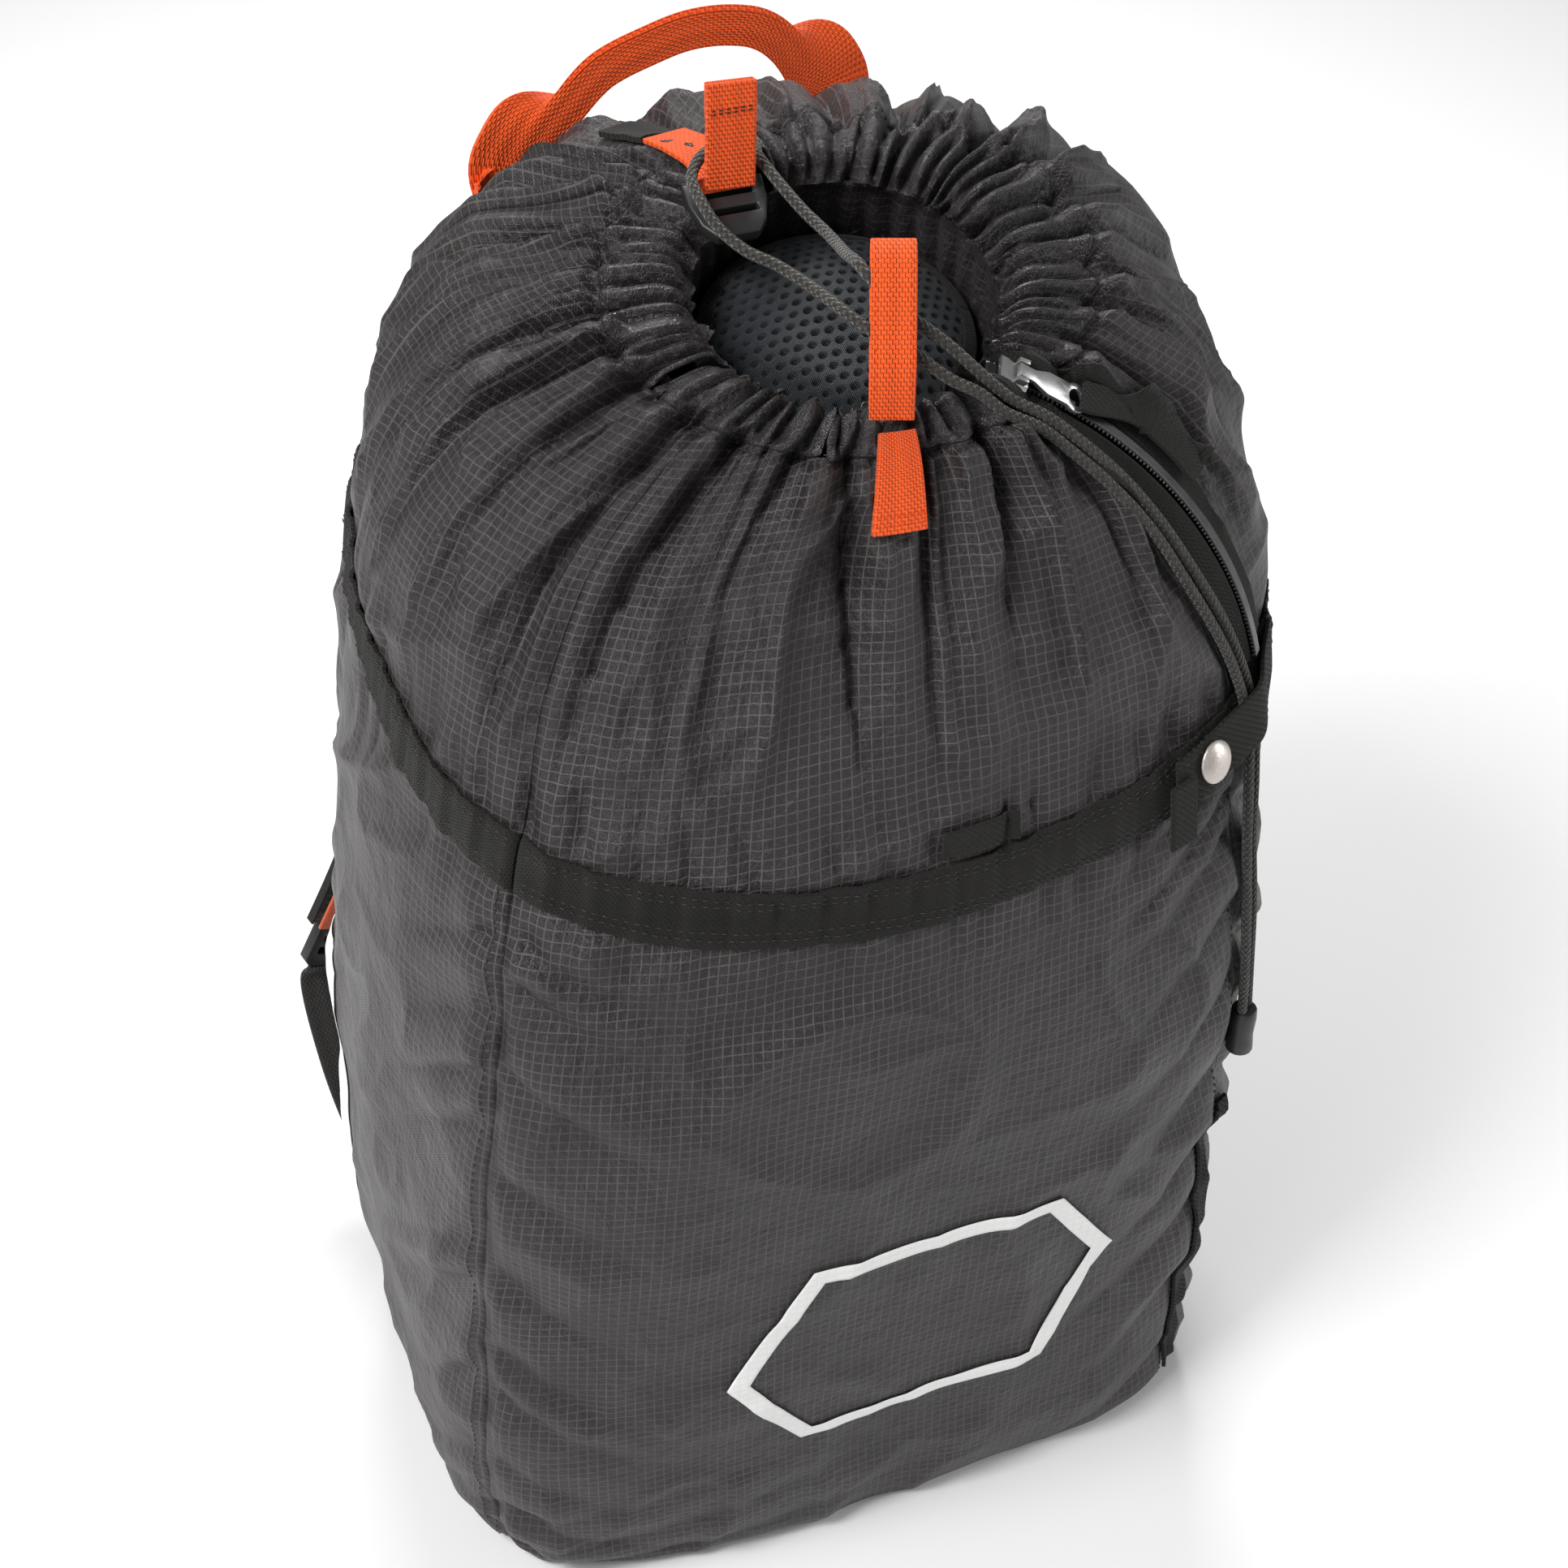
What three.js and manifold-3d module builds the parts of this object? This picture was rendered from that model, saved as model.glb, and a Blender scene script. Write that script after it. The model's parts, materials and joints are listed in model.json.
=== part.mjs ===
// Drawstring stuff sack with carrying straps, standing upright and full.
// Millimetres, +Z up, origin at the middle of the flat base, front of the sack towards -Y.
//
// The soft shell is one smooth surface, sackPoint(degrees, level). An angle of 270 degrees is the
// front, 0 the right side, 90 the back and 180 the left side. A level counts rings up the sack:
// 0 is the edge of the base, about 6 is the hem band, 9 is the foot of the drawcord tunnel and
// 11 is the rim of the mouth. Every sewn piece is placed on that surface by angle, level and lift.
import * as THREE from "three";
import { mergeVertices } from "three/addons/utils/BufferGeometryUtils.js";
import Module from "manifold-3d";

const wasm = await Module();
wasm.setup();

// Overall sizes.
const SACK_WIDTH = 306;
const SACK_DEPTH = 246;
const SACK_HEIGHT = 472;
const MOUTH_WIDTH = 92;
const MOUTH_DEPTH = 88;

// Fabric and clearances.
const FABRIC = 2;
const TOUCH_GAP = 0.4;
const SEAM_HALF_ANGLE = 0.2;
const ANGLE_STEP = 5;

// Seams, in degrees round the sack.
const LEFT_SEAM = 220;
const RIGHT_SEAM = 315;
const BACK_RIGHT_SEAM = 400;
const BACK_LEFT_SEAM = 140;

// Hem band tape, where the body meets the collar.
const BAND_LEVEL = 5.62;
const BAND_RISE = 0.5;
const BAND_WIDTH = 18;
const BAND_THICKNESS = 1.6;
const BAND_LIFT = 0.8;
const BAND_TOP = BAND_LIFT + BAND_THICKNESS;
const COLLAR_TOP = 9.2;

// Drawcord tunnel.
const TUNNEL_FOOT = 9.27;
const TUNNEL_LINING_DEPTH = 7.2;
const TUNNEL_LINING_TOP = 9.8;
const CORD_DIAMETER = 3.4;
const CORD_SIDES = 8;

// Zip beside the right seam.
const ZIP_ANGLE_AT_BAND = 320;
const ZIP_LEAN = 4.2;
const ZIP_TOP_LEVEL = 10.3;
const ZIP_FOOT_LEVEL = 6.2;
const ZIP_SLOT = 8;
const CHAIN_WIDTH = 5.4;
const CHAIN_THICKNESS = 2.2;
const TAPE_WIDTH = 12.5;
const TAPE_THICKNESS = 0.8;
const SLIDER_LENGTH = 9;
const SLIDER_WIDTH = 9;
const SLIDER_HEIGHT = 4.4;
const SLIDER_FLOOR = 1.9;
const PULLER_LENGTH = 24;
const PULLER_WIDTH = 9;
const PULLER_THICKNESS = 1.5;
const PULL_TAB_LENGTH = 44;
const PULL_TAB_WIDTH = 12;
const PULL_TAB_THICKNESS = 1.6;

// Snap flap across the foot of the zip.
const FLAP_FREE_ANGLE = 301;
const FLAP_HINGE_ANGLE = 327;
const FLAP_THICKNESS = 1.4;
const FLAP_LIFT = 3.5;
const FLAP_BULGE = 3.9;
const SNAP_ANGLE = 307;
const SNAP_RADIUS = 7;

// Webbing.
const LOOP_WEBBING = 12.5;
const STRAP_WEBBING = 15;
const HANDLE_WEBBING = 26;
const HANDLE_FOLDED = 13;
const HANDLE_RISE = 38;
const WEBBING_THICKNESS = 1.6;
const LOOP_OPENING = 7.5;

// Hook buckle on the top strap.
const BUCKLE_WIDTH = 24;
const BUCKLE_LENGTH = 20;
const BUCKLE_THICKNESS = 4;

// Shoulder straps.
const PAD_WIDTH = 52;
const PAD_TOP_WIDTH = 26;
const PAD_NARROWING = 12;
const PAD_THICKNESS = 7;
const LINING_THICKNESS = 1.4;
const LOCK_WIDTH = 30;
const LOCK_LENGTH = 22;
const LOCK_THICKNESS = 5;
const LOWER_WEBBING = 20;

const { degToRad, lerp, clamp } = THREE.MathUtils;

// ---------------------------------------------------------------------------------------------
// Materials
// ---------------------------------------------------------------------------------------------

function material(color, roughness, metalness = 0) {
  return () => new THREE.MeshStandardMaterial({ color, roughness, metalness });
}

const ripstop = material(0x3c3739, 0.55);
const sheen = material(0x4a4547, 0.3);
const twill = material(0x24231f, 0.85);
const orange = material(0xf2501c, 0.75);
const braid = material(0x35332e, 0.8);
const blackPlastic = material(0x151516, 0.4);
const silver = material(0xc9c9c9, 0.3, 0.9);
const spacerMesh = material(0x1e252b, 0.85);
const printWhite = material(0xf2f2f0, 0.5);
const pearl = material(0xd9d2c8, 0.3, 0.4);
const foam = material(0x2b2a2b, 0.8);

// ---------------------------------------------------------------------------------------------
// The surface of the full sack
// ---------------------------------------------------------------------------------------------

const HALF_WIDTH = SACK_WIDTH / 2;
const HALF_DEPTH = SACK_DEPTH / 2;
const RIM_WIDTH = MOUTH_WIDTH / 2;
const RIM_DEPTH = MOUTH_DEPTH / 2;

// Each ring: height, half width, half depth, shift along X, shift along Y, squareness, tilt.
const RINGS = [
  [0, HALF_WIDTH - 14, HALF_DEPTH - 16, -8, -5, 4.4, 0],
  [10, HALF_WIDTH - 3, HALF_DEPTH - 8, -9, -5, 4.4, 0],
  [SACK_HEIGHT * 0.16, HALF_WIDTH, HALF_DEPTH - 3, -9, -6, 4, 0],
  [SACK_HEIGHT * 0.33, HALF_WIDTH, HALF_DEPTH, -7, -7, 3.6, 0],
  [SACK_HEIGHT * 0.51, HALF_WIDTH - 3, HALF_DEPTH + 1, -3, -8, 3.2, 1],
  [SACK_HEIGHT * 0.645, HALF_WIDTH - 7, HALF_DEPTH - 2, 1, -4, 2.9, 4],
  [SACK_HEIGHT * 0.76, HALF_WIDTH - 10, HALF_DEPTH - 6, 7, 2, 2.6, 12],
  [SACK_HEIGHT * 0.86, HALF_WIDTH - 19, HALF_DEPTH - 13, 9, 2, 2.4, 19],
  [SACK_HEIGHT - 28, HALF_WIDTH * 0.73, HALF_DEPTH * 0.73, 11, -2, 2.2, 22],
  [SACK_HEIGHT - 6, HALF_WIDTH * 0.52, HALF_DEPTH * 0.52, 12, -14, 2, 23],
  [SACK_HEIGHT, RIM_WIDTH + 9, RIM_DEPTH + 5, 11, -20, 2, 22],
  [SACK_HEIGHT - 6, RIM_WIDTH, RIM_DEPTH, 10, -20.3, 2, 21],
];
const RIM_LEVEL = RINGS.length - 1;
const MOUTH_RING = RINGS[RIM_LEVEL - 1];

// Ring values at any level, by a smooth curve through the rings (Catmull-Rom).
function ringAt(level) {
  const start = clamp(Math.floor(level), 0, RIM_LEVEL - 1);
  const s = level - start;
  const here = RINGS[start];
  const next = RINGS[start + 1];
  return here.map((value, i) => {
    const before = start > 0 ? RINGS[start - 1][i] : 2 * value - next[i];
    const after = start < RIM_LEVEL - 1 ? RINGS[start + 2][i] : 2 * next[i] - value;
    const slope = next[i] - before;
    const bend = 2 * before - 5 * value + 4 * next[i] - after;
    const twist = -before + 3 * value - 3 * next[i] + after;
    return 0.5 * (2 * value + slope * s + bend * s * s + twist * s ** 3);
  });
}

function sackPoint(degrees, level) {
  const [z, halfWidth, halfDepth, x, y, squareness, tilt] = ringAt(level);
  const c = Math.cos(degToRad(degrees));
  const s = Math.sin(degToRad(degrees));
  const power = Math.abs(c) ** squareness + Math.abs(s) ** squareness;
  const reach = power ** (-1 / squareness);
  const back = halfDepth * reach * s;
  const lean = degToRad(tilt);
  return new THREE.Vector3(
    x + halfWidth * reach * c,
    y + back * Math.cos(lean),
    z + back * Math.sin(lean),
  );
}

const ANGLE_PROBE = 1;
const LEVEL_PROBE = 0.02;

function alongRing(degrees, level) {
  const ahead = sackPoint(degrees + ANGLE_PROBE, level);
  return ahead.sub(sackPoint(degrees - ANGLE_PROBE, level)).divideScalar(2 * ANGLE_PROBE);
}

function upWall(degrees, level) {
  const high = Math.min(level + LEVEL_PROBE, RIM_LEVEL);
  const low = Math.max(level - LEVEL_PROBE, 0);
  return sackPoint(degrees, high).sub(sackPoint(degrees, low)).divideScalar(high - low);
}

function sackNormal(degrees, level) {
  return alongRing(degrees, level).cross(upWall(degrees, level)).normalize();
}

function onSack(degrees, level, lift = 0) {
  return sackPoint(degrees, level).addScaledVector(sackNormal(degrees, level), lift);
}

// Degrees or levels that a distance in millimetres covers at a place on the sack.
function degreesFor(distance, degrees, level) {
  return distance / alongRing(degrees, level).length();
}

function levelsFor(distance, degrees, level) {
  return distance / upWall(degrees, level).length();
}

// The mouth's own frame: x to the right, y to the back and z out of the mouth.
function fromMouth(x, y, z) {
  const [height, , , shiftX, shiftY, , tilt] = MOUTH_RING;
  const lean = degToRad(tilt);
  return new THREE.Vector3(
    shiftX + x,
    shiftY + y * Math.cos(lean) - z * Math.sin(lean),
    height + y * Math.sin(lean) + z * Math.cos(lean),
  );
}

function bandLevel(degrees) {
  return BAND_LEVEL + BAND_RISE * (1 + Math.sin(degToRad(degrees))) ** 0.6;
}

function zipAngle(level) {
  return ZIP_ANGLE_AT_BAND - ZIP_LEAN * (level - 6);
}

// ---------------------------------------------------------------------------------------------
// Solids
// ---------------------------------------------------------------------------------------------

const sack = new THREE.Group();

function addPiece(name, geometry, makeMaterial, parent = sack) {
  const mesh = new THREE.Mesh(geometry, makeMaterial());
  mesh.name = name;
  parent.add(mesh);
  return mesh;
}

// A sheet with thickness: a box of unit size whose corners and steps are moved by place(a, b, c).
// a runs across, b along and c from the under side to the upper side, each from 0 to 1.
function bentSheet(acrossSteps, alongSteps, place) {
  const geometry = new THREE.BoxGeometry(1, 1, 1, acrossSteps, alongSteps, 1);
  const corners = geometry.attributes.position;
  for (let i = 0; i < corners.count; i++) {
    const a = corners.getX(i) + 0.5;
    const b = corners.getY(i) + 0.5;
    const c = corners.getZ(i) + 0.5;
    const point = place(a, b, c);
    corners.setXYZ(i, point.x, point.y, point.z);
  }
  geometry.computeVertexNormals();
  return geometry;
}

// A piece sewn on the sack between two angles and two levels, either of which may vary.
function sackPatch({ angles, levels, lifts, steps }) {
  const [fromAngle, toAngle] = angles;
  const [fromLevel, toLevel] = levels;
  const [under, upper] = lifts;
  return bentSheet(steps[0], steps[1], (a, b, c) => {
    const guess = lerp(fromLevel(0), toLevel(0), b);
    const angle = lerp(fromAngle(guess), toAngle(guess), a);
    const level = lerp(fromLevel(angle), toLevel(angle), b);
    return onSack(angle, level, lerp(under, upper, c));
  });
}

const always = (value) => () => value;

// A flat strip along a curve, between two heights beside it. side(b) is the direction across it.
function stripLayer(curve, side, width, under, upper, steps) {
  return bentSheet(2, steps, (a, b, c) => {
    const tangent = curve.getTangentAt(b);
    const across = side(b).clone();
    across.addScaledVector(tangent, -across.dot(tangent)).normalize();
    const out = across.clone().cross(tangent);
    return curve
      .getPointAt(b)
      .addScaledVector(across, (a - 0.5) * width(b))
      .addScaledVector(out, lerp(under(b), upper(b), c));
  });
}

function webbingStrip(curve, side, width, thickness, steps) {
  const half = (b) => 0.5 * thickness(b);
  return stripLayer(curve, side, width, (b) => -half(b), half, steps);
}

function smoothCurve(points) {
  return new THREE.CatmullRomCurve3(points, false, "centripetal");
}

function solidOf(geometry) {
  const bare = geometry.clone();
  bare.deleteAttribute("normal");
  bare.deleteAttribute("uv");
  const merged = mergeVertices(bare, 1e-3);
  return new wasm.Manifold(
    new wasm.Mesh({
      numProp: 3,
      vertProperties: new Float32Array(merged.attributes.position.array),
      triVerts: new Uint32Array(merged.index.array),
    }),
  );
}

function geometryOf(solid) {
  const { vertProperties, triVerts } = solid.getMesh();
  const geometry = new THREE.BufferGeometry();
  geometry.setAttribute("position", new THREE.BufferAttribute(vertProperties, 3));
  geometry.setIndex(new THREE.BufferAttribute(triVerts, 1));
  return geometry;
}

// A placing matrix from an origin and two directions.
function frameAt(origin, xAxis, zAxis) {
  const x = xAxis.clone().normalize();
  const z = zAxis.clone().addScaledVector(x, -zAxis.dot(x)).normalize();
  const y = z.clone().cross(x);
  return new THREE.Matrix4().makeBasis(x, y, z).setPosition(origin);
}

// ---------------------------------------------------------------------------------------------
// Base, body and collar
// ---------------------------------------------------------------------------------------------

const WALL_ROWS = [0, 0.1, 0.2, 0.45, 0.72, 1];

function wallRow(share) {
  const place = share * (WALL_ROWS.length - 1);
  const start = Math.min(Math.floor(place), WALL_ROWS.length - 2);
  return lerp(WALL_ROWS[start], WALL_ROWS[start + 1], place - start);
}

function bodyPanel(fromAngle, toAngle) {
  const columns = Math.round((toAngle - fromAngle) / ANGLE_STEP);
  return bentSheet(columns, WALL_ROWS.length - 1, (a, b, c) => {
    const angle = lerp(fromAngle + SEAM_HALF_ANGLE, toAngle - SEAM_HALF_ANGLE, a);
    const join = bandLevel(angle);
    const top = join - levelsFor(TOUCH_GAP / 2, angle, join);
    return onSack(angle, top * wallRow(b), (c - 1) * FABRIC);
  });
}

function collarPanel(fromAngle, toAngle, columns) {
  return bentSheet(columns, 6, (a, b, c) => {
    const guess = lerp(BAND_LEVEL, COLLAR_TOP, b);
    const angle = lerp(
      fromAngle(guess) + SEAM_HALF_ANGLE,
      toAngle(guess) - SEAM_HALF_ANGLE,
      a,
    );
    const join = bandLevel(angle);
    const foot = join + levelsFor(TOUCH_GAP / 2, angle, join);
    return onSack(angle, lerp(foot, COLLAR_TOP, b), (c - 1) * FABRIC);
  });
}

const BASE_THICKNESS = 3;
const BASE_CORNERS = 72;

function basePanel() {
  const inset = FABRIC + 1.2;
  const outline = new THREE.Shape();
  for (let i = 0; i < BASE_CORNERS; i++) {
    const degrees = (360 * i) / BASE_CORNERS;
    const edge = sackPoint(degrees, 0);
    const out = alongRing(degrees, 0).cross(new THREE.Vector3(0, 0, 1)).normalize();
    edge.addScaledVector(out, -inset);
    if (i === 0) outline.moveTo(edge.x, edge.y);
    else outline.lineTo(edge.x, edge.y);
  }
  return new THREE.ExtrudeGeometry(outline, { depth: BASE_THICKNESS, bevelEnabled: false });
}

addPiece("base_panel", basePanel(), ripstop);
addPiece("front_panel", bodyPanel(LEFT_SEAM, RIGHT_SEAM), ripstop);
addPiece("left_panel", bodyPanel(BACK_LEFT_SEAM, LEFT_SEAM), ripstop);
addPiece("right_panel", bodyPanel(RIGHT_SEAM, BACK_RIGHT_SEAM), ripstop);
addPiece("back_panel", bodyPanel(BACK_RIGHT_SEAM - 360, BACK_LEFT_SEAM), ripstop);

function slotEdge(side) {
  return (level) => {
    const middle = zipAngle(level);
    return middle + side * degreesFor(ZIP_SLOT, middle, level);
  };
}

addPiece("collar_front", collarPanel(always(LEFT_SEAM), slotEdge(-1), 18), ripstop);
addPiece("collar_left", collarPanel(always(BACK_LEFT_SEAM), always(LEFT_SEAM), 16), ripstop);
addPiece("collar_right", collarPanel(slotEdge(1), always(BACK_RIGHT_SEAM), 16), ripstop);
addPiece(
  "collar_back",
  collarPanel(always(BACK_RIGHT_SEAM - 360), always(BACK_LEFT_SEAM), 20),
  ripstop,
);

// Foam sheet that stiffens the back, just inside the back panel.
const BACK_FOAM = {
  fromAngle: 60,
  toAngle: 120,
  fromLevel: 1.2,
  toLevel: 5.8,
  thickness: 4,
  gap: 4,
};

addPiece(
  "back_foam",
  sackPatch({
    angles: [always(BACK_FOAM.fromAngle), always(BACK_FOAM.toAngle)],
    levels: [always(BACK_FOAM.fromLevel), always(BACK_FOAM.toLevel)],
    lifts: [-FABRIC - BACK_FOAM.gap - BACK_FOAM.thickness, -FABRIC - BACK_FOAM.gap],
    steps: [12, 5],
  }),
  foam,
);

// ---------------------------------------------------------------------------------------------
// Hem band
// ---------------------------------------------------------------------------------------------

function bandPiece(fromAngle, toAngle, under, thickness) {
  const columns = Math.round((toAngle - fromAngle) / ANGLE_STEP);
  return bentSheet(columns, 2, (a, b, c) => {
    const angle = lerp(fromAngle + SEAM_HALF_ANGLE, toAngle - SEAM_HALF_ANGLE, a);
    const middle = bandLevel(angle);
    const level = middle + levelsFor((b - 0.5) * BAND_WIDTH, angle, middle);
    return onSack(angle, level, under(angle) + c * thickness);
  });
}

const bandUnder = always(BAND_LIFT);
const BAND_PIECES = [
  ["hem_band_front", LEFT_SEAM, FLAP_HINGE_ANGLE],
  ["hem_band_left", BACK_LEFT_SEAM, LEFT_SEAM],
  ["hem_band_right", FLAP_HINGE_ANGLE, BACK_RIGHT_SEAM],
  ["hem_band_back", BACK_RIGHT_SEAM - 360, BACK_LEFT_SEAM],
];
for (const [name, from, to] of BAND_PIECES) {
  addPiece(name, bandPiece(from, to, bandUnder, BAND_THICKNESS), twill);
}

// Short tape tab stitched above the band on the front.
const FRONT_TAB = { angle: 274.8, width: 25, height: 9, rise: BAND_WIDTH / 2 + 7 };

function frontTapeTab() {
  const middle = bandLevel(FRONT_TAB.angle);
  const level = middle + levelsFor(FRONT_TAB.rise, FRONT_TAB.angle, middle);
  const half = degreesFor(FRONT_TAB.width / 2, FRONT_TAB.angle, level);
  const reach = levelsFor(FRONT_TAB.height / 2, FRONT_TAB.angle, level);
  return sackPatch({
    angles: [always(FRONT_TAB.angle - half), always(FRONT_TAB.angle + half)],
    levels: [always(level - reach), always(level + reach)],
    lifts: [BAND_LIFT, BAND_LIFT + BAND_THICKNESS],
    steps: [4, 1],
  });
}

addPiece("front_tape_tab", frontTapeTab(), twill);

// ---------------------------------------------------------------------------------------------
// Drawcord tunnel round the mouth
// ---------------------------------------------------------------------------------------------

const TUNNEL_PIECES = [
  ["tunnel_left", 115, 201.5],
  ["tunnel_front_left", 203.5, 246.5],
  ["tunnel_front", 248.5, 292],
  ["tunnel_right", 312, 373],
  ["tunnel_back_right", 375, 462],
];

for (const [name, from, to] of TUNNEL_PIECES) {
  addPiece(
    name,
    sackPatch({
      angles: [always(from), always(to)],
      levels: [always(TUNNEL_FOOT), always(RIM_LEVEL)],
      lifts: [-FABRIC, 0],
      steps: [Math.ceil((to - from) / 7), 6],
    }),
    sheen,
  );
}

// The inner layer of the tunnel, open at the zip.
const LINING_FROM = 314 - 360;
const LINING_TO = 290;

addPiece(
  "tunnel_lining",
  sackPatch({
    angles: [always(LINING_FROM), always(LINING_TO)],
    levels: [always(TUNNEL_FOOT), always(TUNNEL_LINING_TOP)],
    lifts: [-TUNNEL_LINING_DEPTH - FABRIC, -TUNNEL_LINING_DEPTH],
    steps: [42, 3],
  }),
  sheen,
);

// A round cord along a list of points, as a tube with flat ends.
function cordAlong(points, steps) {
  const outline = new THREE.Shape();
  for (let i = 0; i < CORD_SIDES; i++) {
    const turn = (2 * Math.PI * (i + 0.5)) / CORD_SIDES;
    const x = (CORD_DIAMETER / 2) * Math.cos(turn);
    const y = (CORD_DIAMETER / 2) * Math.sin(turn);
    if (i === 0) outline.moveTo(x, y);
    else outline.lineTo(x, y);
  }
  return new THREE.ExtrudeGeometry(outline, {
    steps,
    extrudePath: smoothCurve(points),
    bevelEnabled: false,
  });
}

// The part of each cord half that the tunnel holds, from the zip edge to the exit at the back.
const TUNNEL_CORD_LEVEL = 9.5;
const TUNNEL_CORD_LIFT = -0.5 * (FABRIC + TUNNEL_LINING_DEPTH);

function tunnelCord(fromAngle, toAngle) {
  const points = [];
  const count = 13;
  for (let i = 0; i < count; i++) {
    const angle = lerp(fromAngle, toAngle, i / (count - 1));
    points.push(onSack(angle, TUNNEL_CORD_LEVEL, TUNNEL_CORD_LIFT));
  }
  return cordAlong(points, 24);
}

addPiece("drawcord_left_in_tunnel", tunnelCord(290, 118), braid);
addPiece("drawcord_right_in_tunnel", tunnelCord(315, 460), braid);

// ---------------------------------------------------------------------------------------------
// Zip
// ---------------------------------------------------------------------------------------------

// The chain lies on one circle, so that the slider's travel is a turn about the circle's axis.
const CHAIN_LIFT = 3;

function circleThrough(first, second, third) {
  const u = second.clone().sub(first);
  const v = third.clone().sub(first);
  const normal = u.clone().cross(v);
  const scale = 1 / (2 * normal.lengthSq());
  const toCentre = v.clone().cross(normal).negate().multiplyScalar(-u.lengthSq());
  toCentre.addScaledVector(u.clone().cross(normal), -v.lengthSq());
  const centre = first.clone().addScaledVector(toCentre.negate(), -scale);
  return { centre, axis: normal.normalize() };
}

const zipTop = onSack(zipAngle(ZIP_TOP_LEVEL), ZIP_TOP_LEVEL, CHAIN_LIFT);
const zipMiddleLevel = 0.5 * (ZIP_TOP_LEVEL + ZIP_FOOT_LEVEL);
const zipMiddle = onSack(zipAngle(zipMiddleLevel), zipMiddleLevel, CHAIN_LIFT);
const zipFoot = onSack(zipAngle(ZIP_FOOT_LEVEL), ZIP_FOOT_LEVEL, CHAIN_LIFT);
const zipCircle = circleThrough(zipTop, zipMiddle, zipFoot);
const zipRadius = zipTop.distanceTo(zipCircle.centre);
const zipStart = zipTop.clone().sub(zipCircle.centre).normalize();
const zipTurn = zipCircle.axis.clone().cross(zipStart);
const footFromCentre = zipFoot.clone().sub(zipCircle.centre);
const ZIP_SWEEP = Math.atan2(footFromCentre.dot(zipTurn), footFromCentre.dot(zipStart));

// The sack slopes across the chain, so the chain leans by this much about its own run.
const ZIP_TILT = 33;
const tiltAcross = Math.cos(degToRad(ZIP_TILT));
const tiltOut = Math.sin(degToRad(ZIP_TILT));

// A place beside the chain: distance along it from its top, across it and above it.
function fromZip(along, across, above) {
  const turn = along / zipRadius;
  const out = zipStart
    .clone()
    .multiplyScalar(Math.cos(turn))
    .addScaledVector(zipTurn, Math.sin(turn));
  return zipCircle.centre
    .clone()
    .addScaledVector(out, zipRadius + tiltAcross * above + tiltOut * across)
    .addScaledVector(zipCircle.axis, tiltAcross * across - tiltOut * above);
}

const CHAIN_LENGTH = ZIP_SWEEP * zipRadius;
const CHAIN_STEPS = 22;

addPiece(
  "zip_chain",
  bentSheet(1, CHAIN_STEPS, (a, b, c) =>
    fromZip(b * CHAIN_LENGTH, (0.5 - a) * CHAIN_WIDTH, c * CHAIN_THICKNESS),
  ),
  blackPlastic,
);

// The level on the sack beside a distance along the chain, found by halving.
function levelBeside(along) {
  const place = fromZip(along, 0, 0);
  const forward = fromZip(along + 1, 0, 0).sub(place);
  let low = ZIP_FOOT_LEVEL - 1;
  let high = RIM_LEVEL;
  for (let i = 0; i < 24; i++) {
    const middle = 0.5 * (low + high);
    const ahead = sackPoint(zipAngle(middle), middle).sub(place).dot(forward) > 0;
    if (ahead) low = middle;
    else high = middle;
  }
  return 0.5 * (low + high);
}

// A place on the sack beside the chain.
function besideZip(along, across, lift) {
  const level = levelBeside(along);
  const middle = zipAngle(level);
  return onSack(middle + degreesFor(across, middle, level), level, lift);
}

// One side of the zip tape: from the chain's edge up over the slot's edge and on to the collar.
function zipTape(side) {
  const inner = CHAIN_WIDTH / 2 + TOUCH_GAP;
  const topReach = [0, ZIP_SLOT - 1.8, ZIP_SLOT - 0.8];
  const fullReach = [0, ZIP_SLOT - 0.5, TAPE_WIDTH];
  return bentSheet(2, CHAIN_STEPS, (a, b, c) => {
    const outward = Math.round(2 * (side > 0 ? 1 - a : a));
    const along = b * CHAIN_LENGTH;
    if (outward === 0) return fromZip(along, side * inner, (c - 0.75) * TAPE_THICKNESS);
    const widening = THREE.MathUtils.smoothstep(along, 8, 26);
    const reach = lerp(topReach[outward], fullReach[outward], widening);
    return besideZip(along, side * reach, BAND_LIFT + c * TAPE_THICKNESS);
  });
}

addPiece("zip_tape_front", zipTape(-1), twill);
addPiece("zip_tape_side", zipTape(1), twill);

// Slider: a channel that straddles the chain, with two lugs that hold the puller.
const SLIDER_PLACE = 8;
const LUG_WIDTH = 1.3;
const LUG_LENGTH = 3.4;
const LUG_HEIGHT = 2.6;
const LUG_SPREAD = 2.9;
const PIVOT_PLACE = SLIDER_PLACE + 1.5;
const PIVOT_HEIGHT = 6;
const PULLER_PITCH = 8.6;

// Frame on the chain: x across it, y above it and z along it, away from the mouth.
function chainFrame(along, above = 0) {
  const origin = fromZip(along, 0, above);
  const across = fromZip(along, 1, above).sub(origin);
  const out = fromZip(along, 0, above + 1).sub(origin);
  const forward = across.clone().cross(out);
  return new THREE.Matrix4().makeBasis(across, out, forward).setPosition(origin);
}

function polygon(points) {
  return new THREE.Shape(points.map(([x, y]) => new THREE.Vector2(x, y)));
}

function extruded(shape, depth) {
  return new THREE.ExtrudeGeometry(shape, { depth, bevelEnabled: false, curveSegments: 10 });
}

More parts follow.
